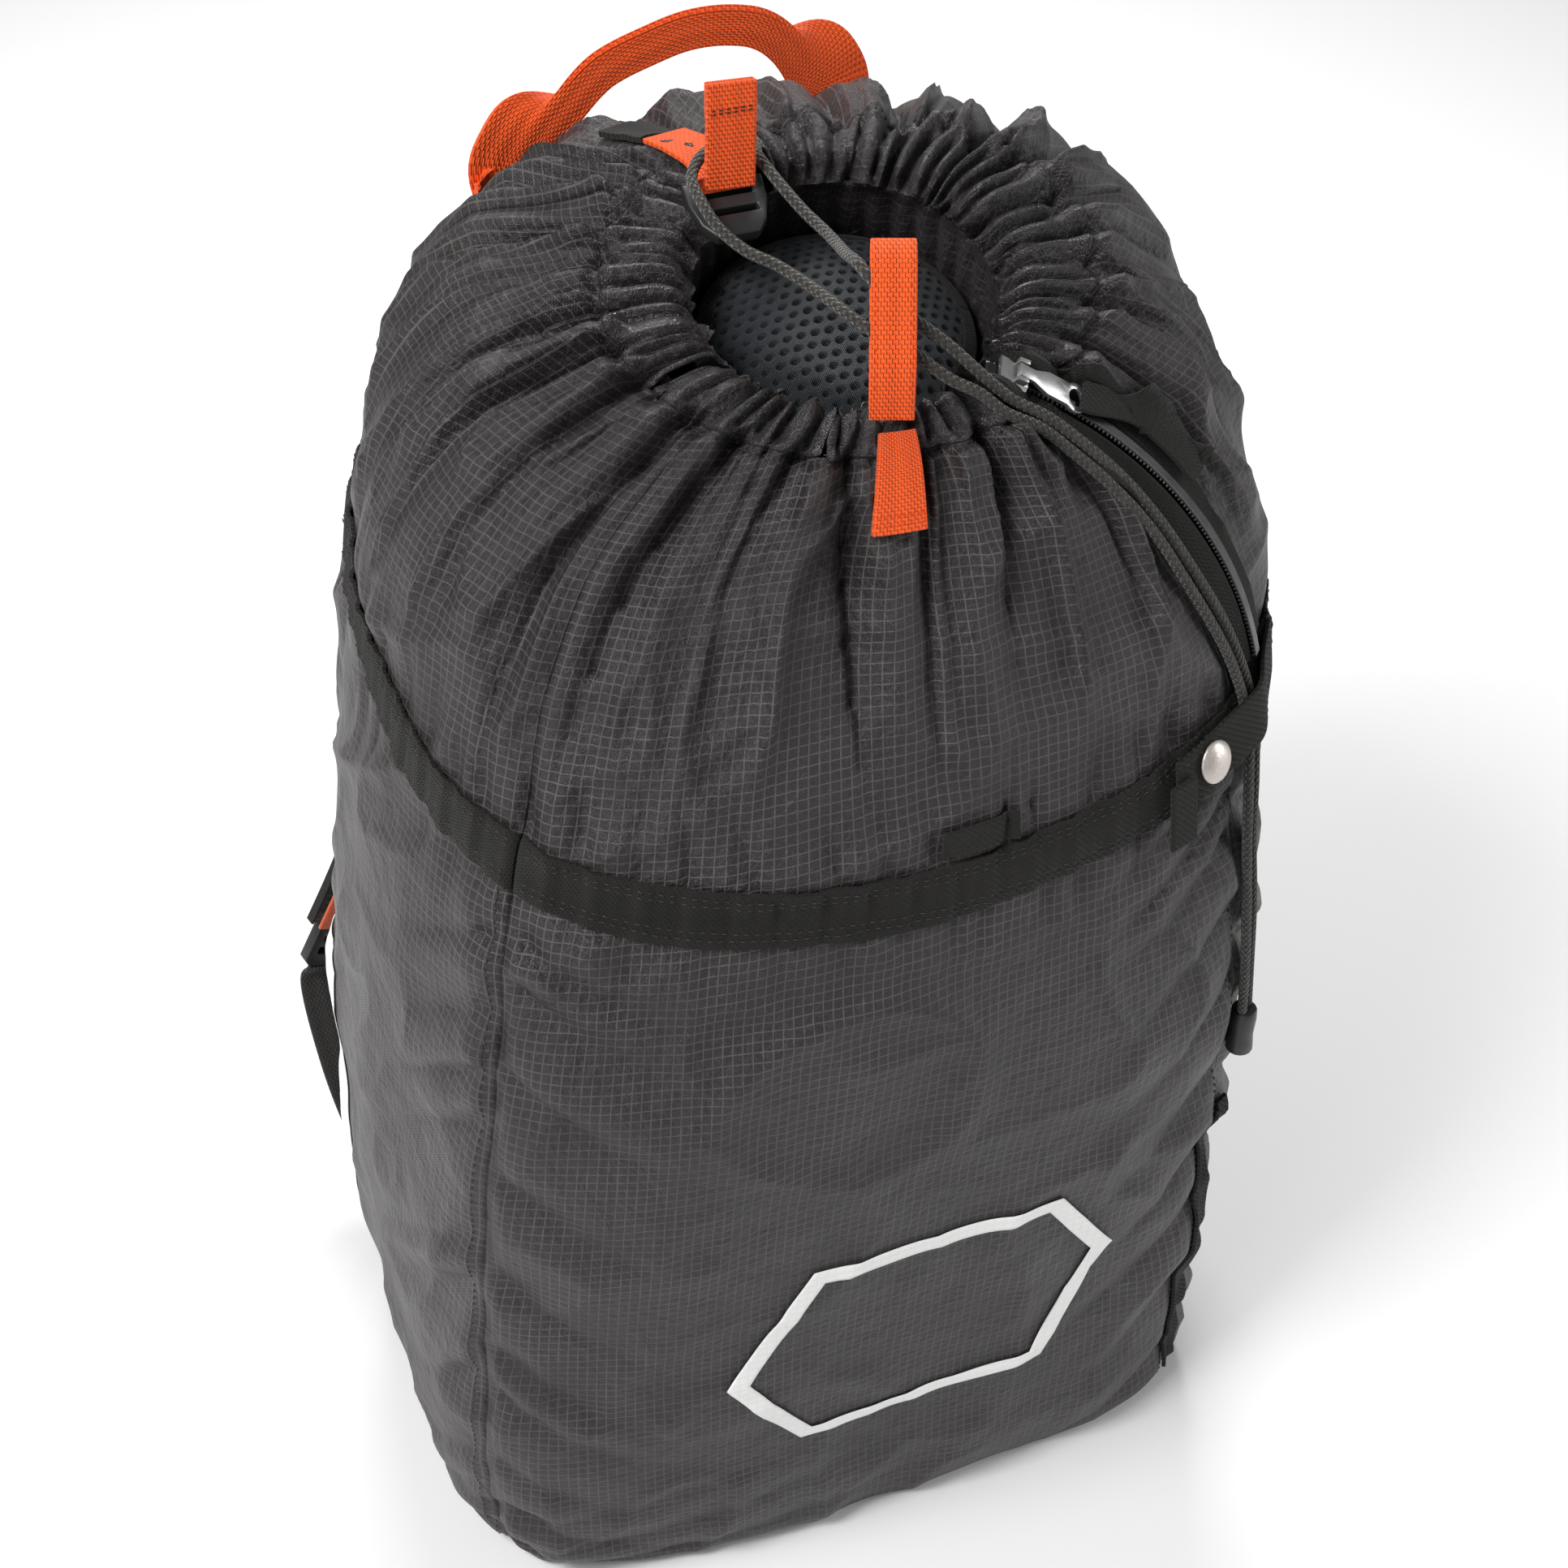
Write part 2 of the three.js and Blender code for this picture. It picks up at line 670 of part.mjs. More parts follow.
function zipSlider() {
  const inner = CHAIN_WIDTH / 2 + TOUCH_GAP;
  const roof = CHAIN_THICKNESS + TOUCH_GAP;
  const half = SLIDER_WIDTH / 2;
  const profile = polygon([
    [-half, SLIDER_FLOOR],
    [-inner, SLIDER_FLOOR],
    [-inner, roof],
    [inner, roof],
    [inner, SLIDER_FLOOR],
    [half, SLIDER_FLOOR],
    [half, SLIDER_HEIGHT - 1],
    [half - 1, SLIDER_HEIGHT],
    [1 - half, SLIDER_HEIGHT],
    [-half, SLIDER_HEIGHT - 1],
  ]);
  const channel = extruded(profile, SLIDER_LENGTH).translate(0, 0, -SLIDER_LENGTH / 2);
  let solid = solidOf(channel);
  for (const side of [-1, 1]) {
    const lug = new THREE.BoxGeometry(LUG_WIDTH, LUG_HEIGHT + 1, LUG_LENGTH);
    const lift = SLIDER_HEIGHT + LUG_HEIGHT / 2 - 0.5;
    lug.translate(side * LUG_SPREAD, lift, PIVOT_PLACE - SLIDER_PLACE);
    solid = solid.add(solidOf(lug));
  }
  return geometryOf(solid);
}

addPiece("zip_slider", zipSlider(), silver).applyMatrix4(chainFrame(SLIDER_PLACE));

// Puller: a plate that narrows to a neck between the lugs and ends in a ring.
function zipPuller() {
  const neck = LUG_SPREAD - LUG_WIDTH / 2 - TOUCH_GAP;
  const half = PULLER_WIDTH / 2;
  const ringCentre = PULLER_LENGTH - half;
  const shape = new THREE.Shape();
  shape.moveTo(-neck, -1.4);
  shape.lineTo(neck, -1.4);
  shape.lineTo(neck, 4);
  shape.lineTo(half - 1, 9);
  shape.lineTo(half - 1, ringCentre - 3);
  shape.absarc(0, ringCentre, half, -0.6, Math.PI + 0.6, false);
  shape.lineTo(1 - half, ringCentre - 3);
  shape.lineTo(1 - half, 9);
  shape.lineTo(-neck, 4);
  shape.closePath();
  const hole = new THREE.Path();
  hole.absarc(0, ringCentre, half - 1.8, 0, 2 * Math.PI, true);
  shape.holes.push(hole);
  const plate = extruded(shape, PULLER_THICKNESS);
  plate.translate(0, 0, -PULLER_THICKNESS / 2);
  // From the drawing's plane to the chain's frame: along becomes z and thickness becomes y.
  return plate.rotateX(Math.PI / 2).rotateX(degToRad(PULLER_PITCH));
}

addPiece("zip_puller", zipPuller(), silver).applyMatrix4(chainFrame(PIVOT_PLACE, PIVOT_HEIGHT));

// Fabric tab that hangs from the puller's ring and lies beside the chain.
const TAB_START = PIVOT_PLACE + PULLER_LENGTH + 0.2;
const TAB_LIFT = 3.4;
const TAB_SHIFT = 12.6;

addPiece(
  "zip_pull_tab",
  bentSheet(2, 10, (a, b, c) => {
    const along = TAB_START + b * PULL_TAB_LENGTH;
    const settle = THREE.MathUtils.smoothstep(b, 0, 0.5);
    const across = lerp(1.5, TAB_SHIFT, settle) + (0.5 - a) * PULL_TAB_WIDTH;
    const lift = TAB_LIFT + c * PULL_TAB_THICKNESS;
    return fromZip(along, across, lift).lerp(besideZip(along, across, lift), settle);
  }),
  twill,
);

// ---------------------------------------------------------------------------------------------
// Right seam below the band
// ---------------------------------------------------------------------------------------------

addPiece(
  "side_welt",
  sackPatch({
    angles: [always(RIGHT_SEAM - 1.6), always(RIGHT_SEAM + 1.6)],
    levels: [always(1.05), always(3.2)],
    lifts: [BAND_LIFT, BAND_TOP],
    steps: [2, 8],
  }),
  twill,
);

// ---------------------------------------------------------------------------------------------
// Snap flap across the foot of the zip
// ---------------------------------------------------------------------------------------------

const CORD_ANGLE_AT_BAND = 316;
const BULGE_SPREAD = 4;

function flapUnder(angle) {
  const share = (angle - CORD_ANGLE_AT_BAND) / BULGE_SPREAD;
  return FLAP_LIFT + FLAP_BULGE * Math.exp(-share * share);
}

addPiece(
  "snap_flap",
  bentSheet(13, 2, (a, b, c) => {
    const angle = lerp(FLAP_FREE_ANGLE, FLAP_HINGE_ANGLE, a);
    const middle = bandLevel(angle);
    const level = middle + levelsFor((b - 0.5) * BAND_WIDTH, angle, middle);
    return onSack(angle, level, flapUnder(angle) + c * FLAP_THICKNESS);
  }),
  twill,
);

// A round piece turned about the surface's normal.
function turnedOnSack(profile, angle, level, lift) {
  const rim = profile.map(([radius, height]) => new THREE.Vector2(radius, height));
  const turned = new THREE.LatheGeometry(rim, 20).rotateX(Math.PI / 2);
  const origin = onSack(angle, level, lift);
  return turned.applyMatrix4(frameAt(origin, alongRing(angle, level), sackNormal(angle, level)));
}

const SNAP_CAP = [
  [0, 0],
  [SNAP_RADIUS, 0],
  [SNAP_RADIUS, 0.8],
  [SNAP_RADIUS * 0.8, 1.7],
  [SNAP_RADIUS * 0.45, 2.2],
  [0, 2.4],
];
const snapLevel = bandLevel(SNAP_ANGLE);
const capLift = FLAP_LIFT + FLAP_THICKNESS + 0.6;

addPiece("snap_cap", turnedOnSack(SNAP_CAP, SNAP_ANGLE, snapLevel, capLift), pearl);

// Folded tab at the flap's free end, to pull the snap open.
const FLAP_TAB = { from: 299.4, to: 303.2, above: 3, below: 17, thickness: 2 };

function flapPullTab() {
  const angle = 0.5 * (FLAP_TAB.from + FLAP_TAB.to);
  const middle = bandLevel(angle);
  const under = FLAP_LIFT + FLAP_THICKNESS + TOUCH_GAP;
  return sackPatch({
    angles: [always(FLAP_TAB.from), always(FLAP_TAB.to)],
    levels: [
      always(middle - levelsFor(FLAP_TAB.below, angle, middle)),
      always(middle + levelsFor(FLAP_TAB.above, angle, middle)),
    ],
    lifts: [under, under + FLAP_TAB.thickness],
    steps: [2, 3],
  });
}

addPiece("flap_pull_tab", flapPullTab(), twill);

// ---------------------------------------------------------------------------------------------
// Mesh flap inside the mouth
// ---------------------------------------------------------------------------------------------

const MESH_FLAP = { x: -1, y: -2, z: -25, halfWidth: 41, halfDepth: 37, height: 16 };

function meshFlap() {
  const dome = [
    [0, 0],
    [1, 0],
    [1, 0.2],
    [0.88, 0.55],
    [0.6, 0.85],
    [0.3, 0.97],
    [0, 1],
  ];
  const profile = dome.map(([r, h]) => new THREE.Vector2(r, h));
  const shell = new THREE.LatheGeometry(profile, 24).rotateX(Math.PI / 2);
  shell.scale(MESH_FLAP.halfWidth, MESH_FLAP.halfDepth, MESH_FLAP.height);
  const origin = fromMouth(MESH_FLAP.x, MESH_FLAP.y, MESH_FLAP.z);
  const right = new THREE.Vector3(1, 0, 0);
  const up = fromMouth(0, 0, 1).sub(fromMouth(0, 0, 0));
  return shell.applyMatrix4(frameAt(origin, right, up));
}

addPiece("mesh_flap", meshFlap(), spacerMesh);

// ---------------------------------------------------------------------------------------------
// Front loop, which holds the two cord strands
// ---------------------------------------------------------------------------------------------

const LOOP_ANGLE = 264.5;
const LOOP_FOOT_LEVEL = 8.5;
const LOOP_BEND_LEVEL = 9.75;
const LOOP_TURN = 20;
const LOOP_LENGTH = 49;
const LOOP_TIP_RADIUS = 4;
const loopTurn = degToRad(LOOP_TURN);
const loopAcross = new THREE.Vector3(Math.cos(loopTurn), -Math.sin(loopTurn), 0);
const loopUp = new THREE.Vector3(0.06, 0.5, 0.86).normalize();

addPiece(
  "front_loop_foot",
  sackPatch({
    angles: [
      (level) => LOOP_ANGLE - degreesFor(LOOP_WEBBING / 2, LOOP_ANGLE, level),
      (level) => LOOP_ANGLE + degreesFor(LOOP_WEBBING / 2, LOOP_ANGLE, level),
    ],
    levels: [always(LOOP_FOOT_LEVEL), always(LOOP_BEND_LEVEL)],
    lifts: [BAND_LIFT, BAND_LIFT + 2 * WEBBING_THICKNESS],
    steps: [2, 6],
  }),
  orange,
);

// Side outline of the standing part: narrow at the foot, open where the cords pass.
function frontLoop() {
  const outer = LOOP_OPENING + 2 * WEBBING_THICKNESS;
  const foot = 2 * WEBBING_THICKNESS + 0.4;
  const outline = new THREE.Shape();
  outline.moveTo(0, 0);
  outline.lineTo(0, LOOP_LENGTH - LOOP_TIP_RADIUS);
  outline.quadraticCurveTo(0, LOOP_LENGTH, outer / 2, LOOP_LENGTH);
  outline.quadraticCurveTo(outer, LOOP_LENGTH, outer, LOOP_LENGTH - LOOP_TIP_RADIUS);
  outline.lineTo(outer, 14);
  outline.quadraticCurveTo(outer, 6, foot, 0);
  const inside = new THREE.Path();
  const t = WEBBING_THICKNESS;
  inside.moveTo(t, 3);
  inside.lineTo(foot - t + 0.4, 3);
  inside.quadraticCurveTo(outer - t, 9, outer - t, 15);
  inside.lineTo(outer - t, LOOP_LENGTH - LOOP_TIP_RADIUS);
  inside.quadraticCurveTo(outer - t, LOOP_LENGTH - t, outer / 2, LOOP_LENGTH - t);
  inside.quadraticCurveTo(t, LOOP_LENGTH - t, t, LOOP_LENGTH - LOOP_TIP_RADIUS);
  inside.closePath();
  outline.holes.push(inside);
  return extruded(outline, LOOP_WEBBING).translate(0, 0, -LOOP_WEBBING / 2);
}

// The loop's frame: x to the front, y up the loop and z across the webbing.
const loopFoot = onSack(LOOP_ANGLE, LOOP_BEND_LEVEL, BAND_LIFT).addScaledVector(loopUp, 2.6);
const loopOut = loopAcross.clone().cross(loopUp);
const loopFrame = frameAt(loopFoot, loopOut, loopAcross.clone().negate());
addPiece("front_loop", frontLoop(), orange).applyMatrix4(loopFrame);

// ---------------------------------------------------------------------------------------------
// Haul handle behind the mouth
// ---------------------------------------------------------------------------------------------

const HANDLE_LEFT = { angle: 119, level: 7.3 };
const HANDLE_RIGHT = { angle: 72, level: 7.5 };
const HANDLE_LIFT = 6;
const HANDLE_ARCH = [
  [0, 0],
  [0, 0.24],
  [0.08, 0.49],
  [0.19, 0.67],
  [0.325, 0.865],
  [0.456, 0.955],
  [0.58, 1],
  [0.705, 0.955],
  [0.83, 0.81],
  [0.94, 0.54],
  [1, 0.24],
  [1, 0],
];

const handleLeft = onSack(HANDLE_LEFT.angle, HANDLE_LEFT.level, HANDLE_LIFT);
const handleRight = onSack(HANDLE_RIGHT.angle, HANDLE_RIGHT.level, HANDLE_LIFT);
const handleChord = handleRight.clone().sub(handleLeft);
const handleUp = new THREE.Vector3(0, 0, 1);
const chordRise = handleUp.dot(handleChord) / handleChord.lengthSq();
handleUp.addScaledVector(handleChord, -chordRise).normalize();
const handleCurve = smoothCurve(
  HANDLE_ARCH.map(([share, rise]) =>
    handleLeft
      .clone()
      .addScaledVector(handleChord, share)
      .addScaledVector(handleUp, rise * HANDLE_RISE),
  ),
);
const handleBack = handleUp.clone().cross(handleChord).normalize();

// The webbing is flat at both ends and folded in half in the middle.
function handleFold(b) {
  return THREE.MathUtils.smoothstep(b, 0.12, 0.3) * (1 - THREE.MathUtils.smoothstep(b, 0.72, 0.88));
}

addPiece(
  "haul_handle",
  webbingStrip(
    handleCurve,
    (b) => handleCurve.getTangentAt(b).cross(handleBack),
    (b) => lerp(HANDLE_WEBBING, HANDLE_FOLDED, handleFold(b)),
    (b) => WEBBING_THICKNESS * (1 + handleFold(b)),
    26,
  ),
  orange,
);

// The ends of the handle, sewn flat on the collar.
for (const [name, end] of [
  ["haul_handle_end_left", HANDLE_LEFT],
  ["haul_handle_end_right", HANDLE_RIGHT],
]) {
  const half = degreesFor(HANDLE_WEBBING / 2, end.angle, end.level);
  addPiece(
    name,
    sackPatch({
      angles: [always(end.angle - half), always(end.angle + half)],
      levels: [always(end.level - 0.45), always(end.level - 0.05)],
      lifts: [BAND_LIFT, BAND_LIFT + WEBBING_THICKNESS],
      steps: [3, 3],
    }),
    orange,
  );
}

// ---------------------------------------------------------------------------------------------
// Top strap with its hook buckle
// ---------------------------------------------------------------------------------------------

const ANCHOR = { from: 108, to: 118, foot: 8.35, top: 8.8 };

addPiece(
  "top_strap_anchor",
  sackPatch({
    angles: [always(ANCHOR.from), always(ANCHOR.to)],
    levels: [always(ANCHOR.foot), always(ANCHOR.top)],
    lifts: [BAND_LIFT, BAND_LIFT + 1.8],
    steps: [2, 2],
  }),
  twill,
);

const BUCKLE_BACK = 38;
const BUCKLE_Z = 3;
const topStrapCurve = smoothCurve([
  onSack(114, 8.86, 4.4),
  onSack(115.5, 9.3, 4.6),
  onSack(117, 9.75, 5),
  fromMouth(-27, BUCKLE_BACK + 3, BUCKLE_Z + 2.2),
]);
const mouthRight = new THREE.Vector3(1, 0, 0);

addPiece(
  "top_strap",
  webbingStrip(
    topStrapCurve,
    () => mouthRight,
    () => STRAP_WEBBING,
    () => WEBBING_THICKNESS,
    8,
  ),
  orange,
);

// Buckle body in the mouth's frame: wide at the back, with two slots, and narrow at the front.
const BUCKLE_LEFT = -39;

function hookBuckle() {
  const back = BUCKLE_BACK;
  const front = back - BUCKLE_LENGTH;
  const left = BUCKLE_LEFT;
  const right = left + BUCKLE_WIDTH;
  const body = polygon([
    [left, back],
    [left, back - 7.5],
    [left + 1.5, back - 15],
    [left + 5, front],
    [right - 7, front],
    [right - 3.5, back - 16],
    [right - 1, back - 9],
    [right, back],
  ]);
  for (const place of [6, 12.5]) {
    const slot = new THREE.Path();
    const far = back - place;
    slot.moveTo(left + 4, far);
    slot.lineTo(left + 4, far + 2.4);
    slot.lineTo(right - 4.4, far + 2.4);
    slot.lineTo(right - 4.4, far);
    slot.closePath();
    body.holes.push(slot);
  }
  return extruded(body, BUCKLE_THICKNESS).translate(0, 0, BUCKLE_Z);
}

const mouthUp = fromMouth(0, 0, 1).sub(fromMouth(0, 0, 0));
const mouthFrame = frameAt(fromMouth(0, 0, 0), mouthRight, mouthUp);
addPiece("hook_buckle", hookBuckle(), blackPlastic).applyMatrix4(mouthFrame);

// The strap's loose tail stands up out of the buckle and ends in a fold.
const tailCurve = smoothCurve([
  fromMouth(-26, 33.4, BUCKLE_Z + BUCKLE_THICKNESS + 1),
  fromMouth(-25.6, 37, 15),
  fromMouth(-25, 42, 26),
  fromMouth(-24.5, 47, 36),
]);

addPiece(
  "strap_tail",
  webbingStrip(
    tailCurve,
    () => mouthRight,
    () => STRAP_WEBBING,
    (b) => WEBBING_THICKNESS * (1 + THREE.MathUtils.smoothstep(b, 0.68, 0.74)),
    12,
  ),
  orange,
);

// ---------------------------------------------------------------------------------------------
// Shoulder straps
// ---------------------------------------------------------------------------------------------

const PAD_ROUTE = [
  [113, 6.86, 10],
  [112.5, 6.3, 21],
  [113.5, 5.6, 31],
  [115.5, 4.65, 40],
  [118.5, 3.7, 44.5],
  [123, 3.0, 46],
  [129, 2.4, 50],
];
const LOWER_ROUTE = [
  [134.5, 1.75, 32],
  [136.8, 1.48, 15],
  [138, 1.4, 7],
];
const STRAP_ANCHOR = { from: 107, to: 119, foot: 6.57, top: 6.8 };
const WEDGE = { from: 137, to: 142, foot: 1.05, top: 1.5 };
const STRAP_TURN = 0.3;
const PAD_STEPS = 18;

// Angle of a place on the left strap, mirrored for the right one.
function mirrored(angle, side) {
  return side < 0 ? angle : 180 - angle;
}

function strapPoints(route, side) {
  return route.map(([angle, level, lift]) => onSack(mirrored(angle, side), level, lift));
}

function strapPatch({ from, to, foot, top }, side) {
  const ends = [mirrored(from, side), mirrored(to, side)].sort((p, q) => p - q);
  return sackPatch({
    angles: [always(ends[0]), always(ends[1])],
    levels: [always(foot), always(top)],
    lifts: [BAND_LIFT, BAND_LIFT + 2],
    steps: [2, 2],
  });
}

// Ladder lock: a plate with two slots for the lower webbing.
function ladderLock() {
  const half = LOCK_WIDTH / 2;
  const slotHalf = LOWER_WEBBING / 2 + 0.6;
  const plate = polygon([
    [-half, 0],
    [half, 0],
    [half, LOCK_LENGTH - 3],
    [half - 3, LOCK_LENGTH],
    [3 - half, LOCK_LENGTH],
    [-half, LOCK_LENGTH - 3],
  ]);
  for (const place of [5, 12]) {
    const slot = new THREE.Path();
    slot.moveTo(-slotHalf, place);
    slot.lineTo(-slotHalf, place + 3.6);
    slot.lineTo(slotHalf, place + 3.6);
    slot.lineTo(slotHalf, place);
    slot.closePath();
    plate.holes.push(slot);
  }
  return extruded(plate, LOCK_THICKNESS).translate(0, 0, -LOCK_THICKNESS / 2);
}

for (const [label, side] of [
  ["left", -1],
  ["right", 1],
]) {
  addPiece(`strap_anchor_${label}`, strapPatch(STRAP_ANCHOR, side), twill);
  addPiece(`strap_wedge_${label}`, strapPatch(WEDGE, side), twill);

  const padCurve = smoothCurve(strapPoints(PAD_ROUTE, side));
  const strapAcross = new THREE.Vector3(1, -STRAP_TURN * side, 0).normalize();
  const across = () => strapAcross;
  const padWidth = (b) => {
    const widening = THREE.MathUtils.smoothstep(b, 0, 0.35);
    const narrowing = THREE.MathUtils.smoothstep(b, 0.7, 1);
    return lerp(PAD_TOP_WIDTH, PAD_WIDTH, widening) - PAD_NARROWING * narrowing;
  };
  const padHalf = 0.5 * PAD_THICKNESS;
  const liningTop = -padHalf - 2 * TOUCH_GAP;
  addPiece(
    `shoulder_pad_${label}`,
    webbingStrip(padCurve, across, padWidth, always(PAD_THICKNESS), PAD_STEPS),
    ripstop,
  );
  addPiece(
    `pad_lining_${label}`,
    stripLayer(
      padCurve,
      across,
      (b) => padWidth(b) - 3,
      always(liningTop - LINING_THICKNESS),
      always(liningTop),
      PAD_STEPS,
    ),
    orange,
  );

  const padEnd = padCurve.getPointAt(1);
  const down = padCurve.getTangentAt(1);
  const lockAcross = strapAcross.clone().addScaledVector(down, -strapAcross.dot(down));
  const lockOut = lockAcross.clone().cross(down);
  const lockStart = padEnd.clone().addScaledVector(down, 0.5);
  addPiece(`ladder_lock_${label}`, ladderLock(), blackPlastic).applyMatrix4(
    frameAt(lockStart, lockAcross, lockOut),
  );
  const lowerStart = padEnd.clone().addScaledVector(down, LOCK_LENGTH + 2);
  const lowerTurn = lowerStart.clone().addScaledVector(down, 5);
  addPiece(
    `lower_webbing_${label}`,
    webbingStrip(
      smoothCurve([lowerStart, lowerTurn, ...strapPoints(LOWER_ROUTE, side)]),
      across,
      always(LOWER_WEBBING),
      always(WEBBING_THICKNESS),
      8,
    ),
    twill,
  );
}

// ---------------------------------------------------------------------------------------------
// Drawcord strands outside the tunnel
// ---------------------------------------------------------------------------------------------

// Each strand leaves the gap at the back of the tunnel, crosses the mouth, passes through the
// front loop, runs beside the zip and under the snap flap, and ends in the cord end.
const LEFT_STRAND = [
  [-17.5, 28, 485],
  [-12.5, 28, 485.5],
  [-8, 27.5, 490],
  [-6.5, 24.5, 495.5],
  [-9.5, 21.5, 498.5],
  [-15, 18.5, 500],
  [-21.5, 15, 499],
  [-26, 9, 496.5],
  [-26, 1, 493.5],
  [-24, -8, 489.5],
  [-19, -17, 486],
  [-12.5, -24, 484],
  [-6, -36.5, 482],
  [-2, -48, 481],
  [2, -55.5, 479],
  [7, -59.5, 476.5],
  [12.5, -63, 473.5],
  [22, -67, 465.5],
  [31, -68, 459.5],
  [38.5, -69.5, 452.5],
  [49.5, -70.5, 445.5],
  [60, -72.5, 435.5],
  [72.5, -75.5, 422.5],
  [84.5, -79.5, 407],
  [95.5, -84.5, 388.5],
  [106, -88, 369.5],
  [112, -89, 357],
  [117.5, -90, 342.5],
  [118.8, -91.2, 335.5],
  [119.5, -93.5, 329.5],
  [119, -99, 312.5],
  [118.5, -104, 293.5],
  [120, -108.5, 265.5],
  [121.5, -111.5, 239.5],
  [123, -112, 220],
];
const RIGHT_STRAND = [
  [-1, 32, 486.5],
  [-4.5, 30.5, 486.5],
  [-4, 28.5, 490.5],
  [-2, 23.5, 495],
  [-4, 15.5, 496.5],
  [-2, 8, 493.5],
  [2.5, -4, 488],
  [5.5, -14.5, 486],
  [5.5, -24.5, 487],
  [4, -35, 490],
  [3.5, -44.5, 492.5],
  [5, -50, 490.5],
  [9, -54, 487],
  [13.5, -58.5, 482],
  [23, -62, 473.5],
  [33, -65, 463],
  [41.5, -66.5, 454.5],
  [52, -68.5, 447.5],
  [62.5, -70.5, 438],
  [75, -73, 425],
  [87, -76.5, 409.5],
  [98.5, -81.5, 391],
  [109, -85, 372],
  [115, -86, 359],
  [121.5, -87, 341.5],
  [123, -90.5, 329.5],
  [122.5, -96, 313],
  [122, -100.5, 293.5],
  [123.5, -105.5, 266],
  [125, -108, 239.5],
  [126.5, -109, 220],
];
const STRAND_STEPS = 64;

function worldPoints(list) {
  return list.map(([x, y, z]) => new THREE.Vector3(x, y, z));
}

addPiece("drawcord_strand_left", cordAlong(worldPoints(LEFT_STRAND), STRAND_STEPS), braid);
addPiece("drawcord_strand_right", cordAlong(worldPoints(RIGHT_STRAND), STRAND_STEPS), braid);

// The cord end: a bell that both strands run into.
const CORD_END_LENGTH = 19;
const CORD_END = [
  [0, 0],
  [4.3, 0],
  [4.6, 0.2],
  [4.2, 0.6],
  [4.8, 1],
  [0, 1],
];

function cordEnd() {
  const profile = CORD_END.map(([r, share]) => new THREE.Vector2(r, share * CORD_END_LENGTH));
  const [left, right] = [LEFT_STRAND, RIGHT_STRAND].map((list) => worldPoints(list.slice(-2)));
  const down = left[1].clone().sub(left[0]).add(right[1]).sub(right[0]).normalize();
  const top = left[1].clone().lerp(right[1], 0.5).addScaledVector(down, TOUCH_GAP);
  const turned = new THREE.LatheGeometry(profile, 16).rotateX(Math.PI / 2);
  return turned.applyMatrix4(frameAt(top, new THREE.Vector3(1, 0, 0), down));
}

addPiece("cord_end", cordEnd(), blackPlastic);

// ---------------------------------------------------------------------------------------------
// Front mark and side print
// ---------------------------------------------------------------------------------------------

const PRINT_LIFTS = [BAND_LIFT, BAND_LIFT + 0.8];

addPiece(
  "side_print",
  sackPatch({
    angles: [always(151), always(163)],
    levels: [always(1.5), always(3.5)],
    lifts: PRINT_LIFTS,
    steps: [3, 8],
  }),
  printWhite,
);

// Hexagon outline on the front panel: corners as angle and level, drawn as bent strips.
const MARK_CORNERS = [
  [248, 2.55],
  [258, 3.2],
  [291, 3.2],
  [299, 2.75],
  [292, 2.0],
  [258, 1.95],
];
const MARK_STROKE = 6.5;
const MARK_STEPS = 7;

// The outline's section at each step: four corners, from its outer edge to its inner edge.
function markSections() {
  const middle = [273.5, 2.6];
  const across = alongRing(...middle).length();
  const up = upWall(...middle).length();
  const outer = MARK_CORNERS.map(([angle, level]) => [
    (angle - middle[0]) * across,
    (level - middle[1]) * up,
  ]);
  const inner = outer.map(([x, y]) => {
    const scale = 1 - (1.15 * MARK_STROKE) / Math.hypot(x, y);
    return [x * scale, y * scale];
  });
  const between = ([x1, y1], [x2, y2], t) => [lerp(x1, x2, t), lerp(y1, y2, t)];
  const place = ([x, y], lift) => onSack(middle[0] + x / across, middle[1] + y / up, lift);
  const [under, upper] = PRINT_LIFTS;
  const sections = [];
  for (let i = 0; i < outer.length; i++) {
    const next = (i + 1) % outer.length;
    for (let step = 0; step < MARK_STEPS; step++) {
      const edge = between(outer[i], outer[next], step / MARK_STEPS);
      const inside = between(inner[i], inner[next], step / MARK_STEPS);
      sections.push([
        place(edge, under),
        place(inside, under),
        place(inside, upper),
        place(edge, upper),
      ]);
    }
  }
  return sections;
}

function frontMark() {
  const sections = markSections();
  const faces = [];
  for (let i = 0; i < sections.length; i++) {
    const here = 4 * i;
    const there = 4 * ((i + 1) % sections.length);
    for (let corner = 0; corner < 4; corner++) {
      const next = (corner + 1) % 4;
      faces.push(here + corner, there + corner, there + next);
      faces.push(here + corner, there + next, here + next);
    }
  }
  const geometry = new THREE.BufferGeometry().setFromPoints(sections.flat());
  geometry.setIndex(faces);
  geometry.computeVertexNormals();
  return geometry;
}

addPiece("front_mark", frontMark(), printWhite);

export default sack;
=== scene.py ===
"""Drawstring stuff sack with carrying straps, standing upright and full.

Metres, +Z up, the front of the sack towards -Y. The sack's skin is one smooth surface of rings,
with folds and gathers laid over it in a table, and every sewn piece is placed on that table by
its angle round the sack, its level up the sack and its lift off the cloth.
"""

import json
import math

import bmesh
import bpy
import numpy as np
from mathutils import Matrix, Vector, noise


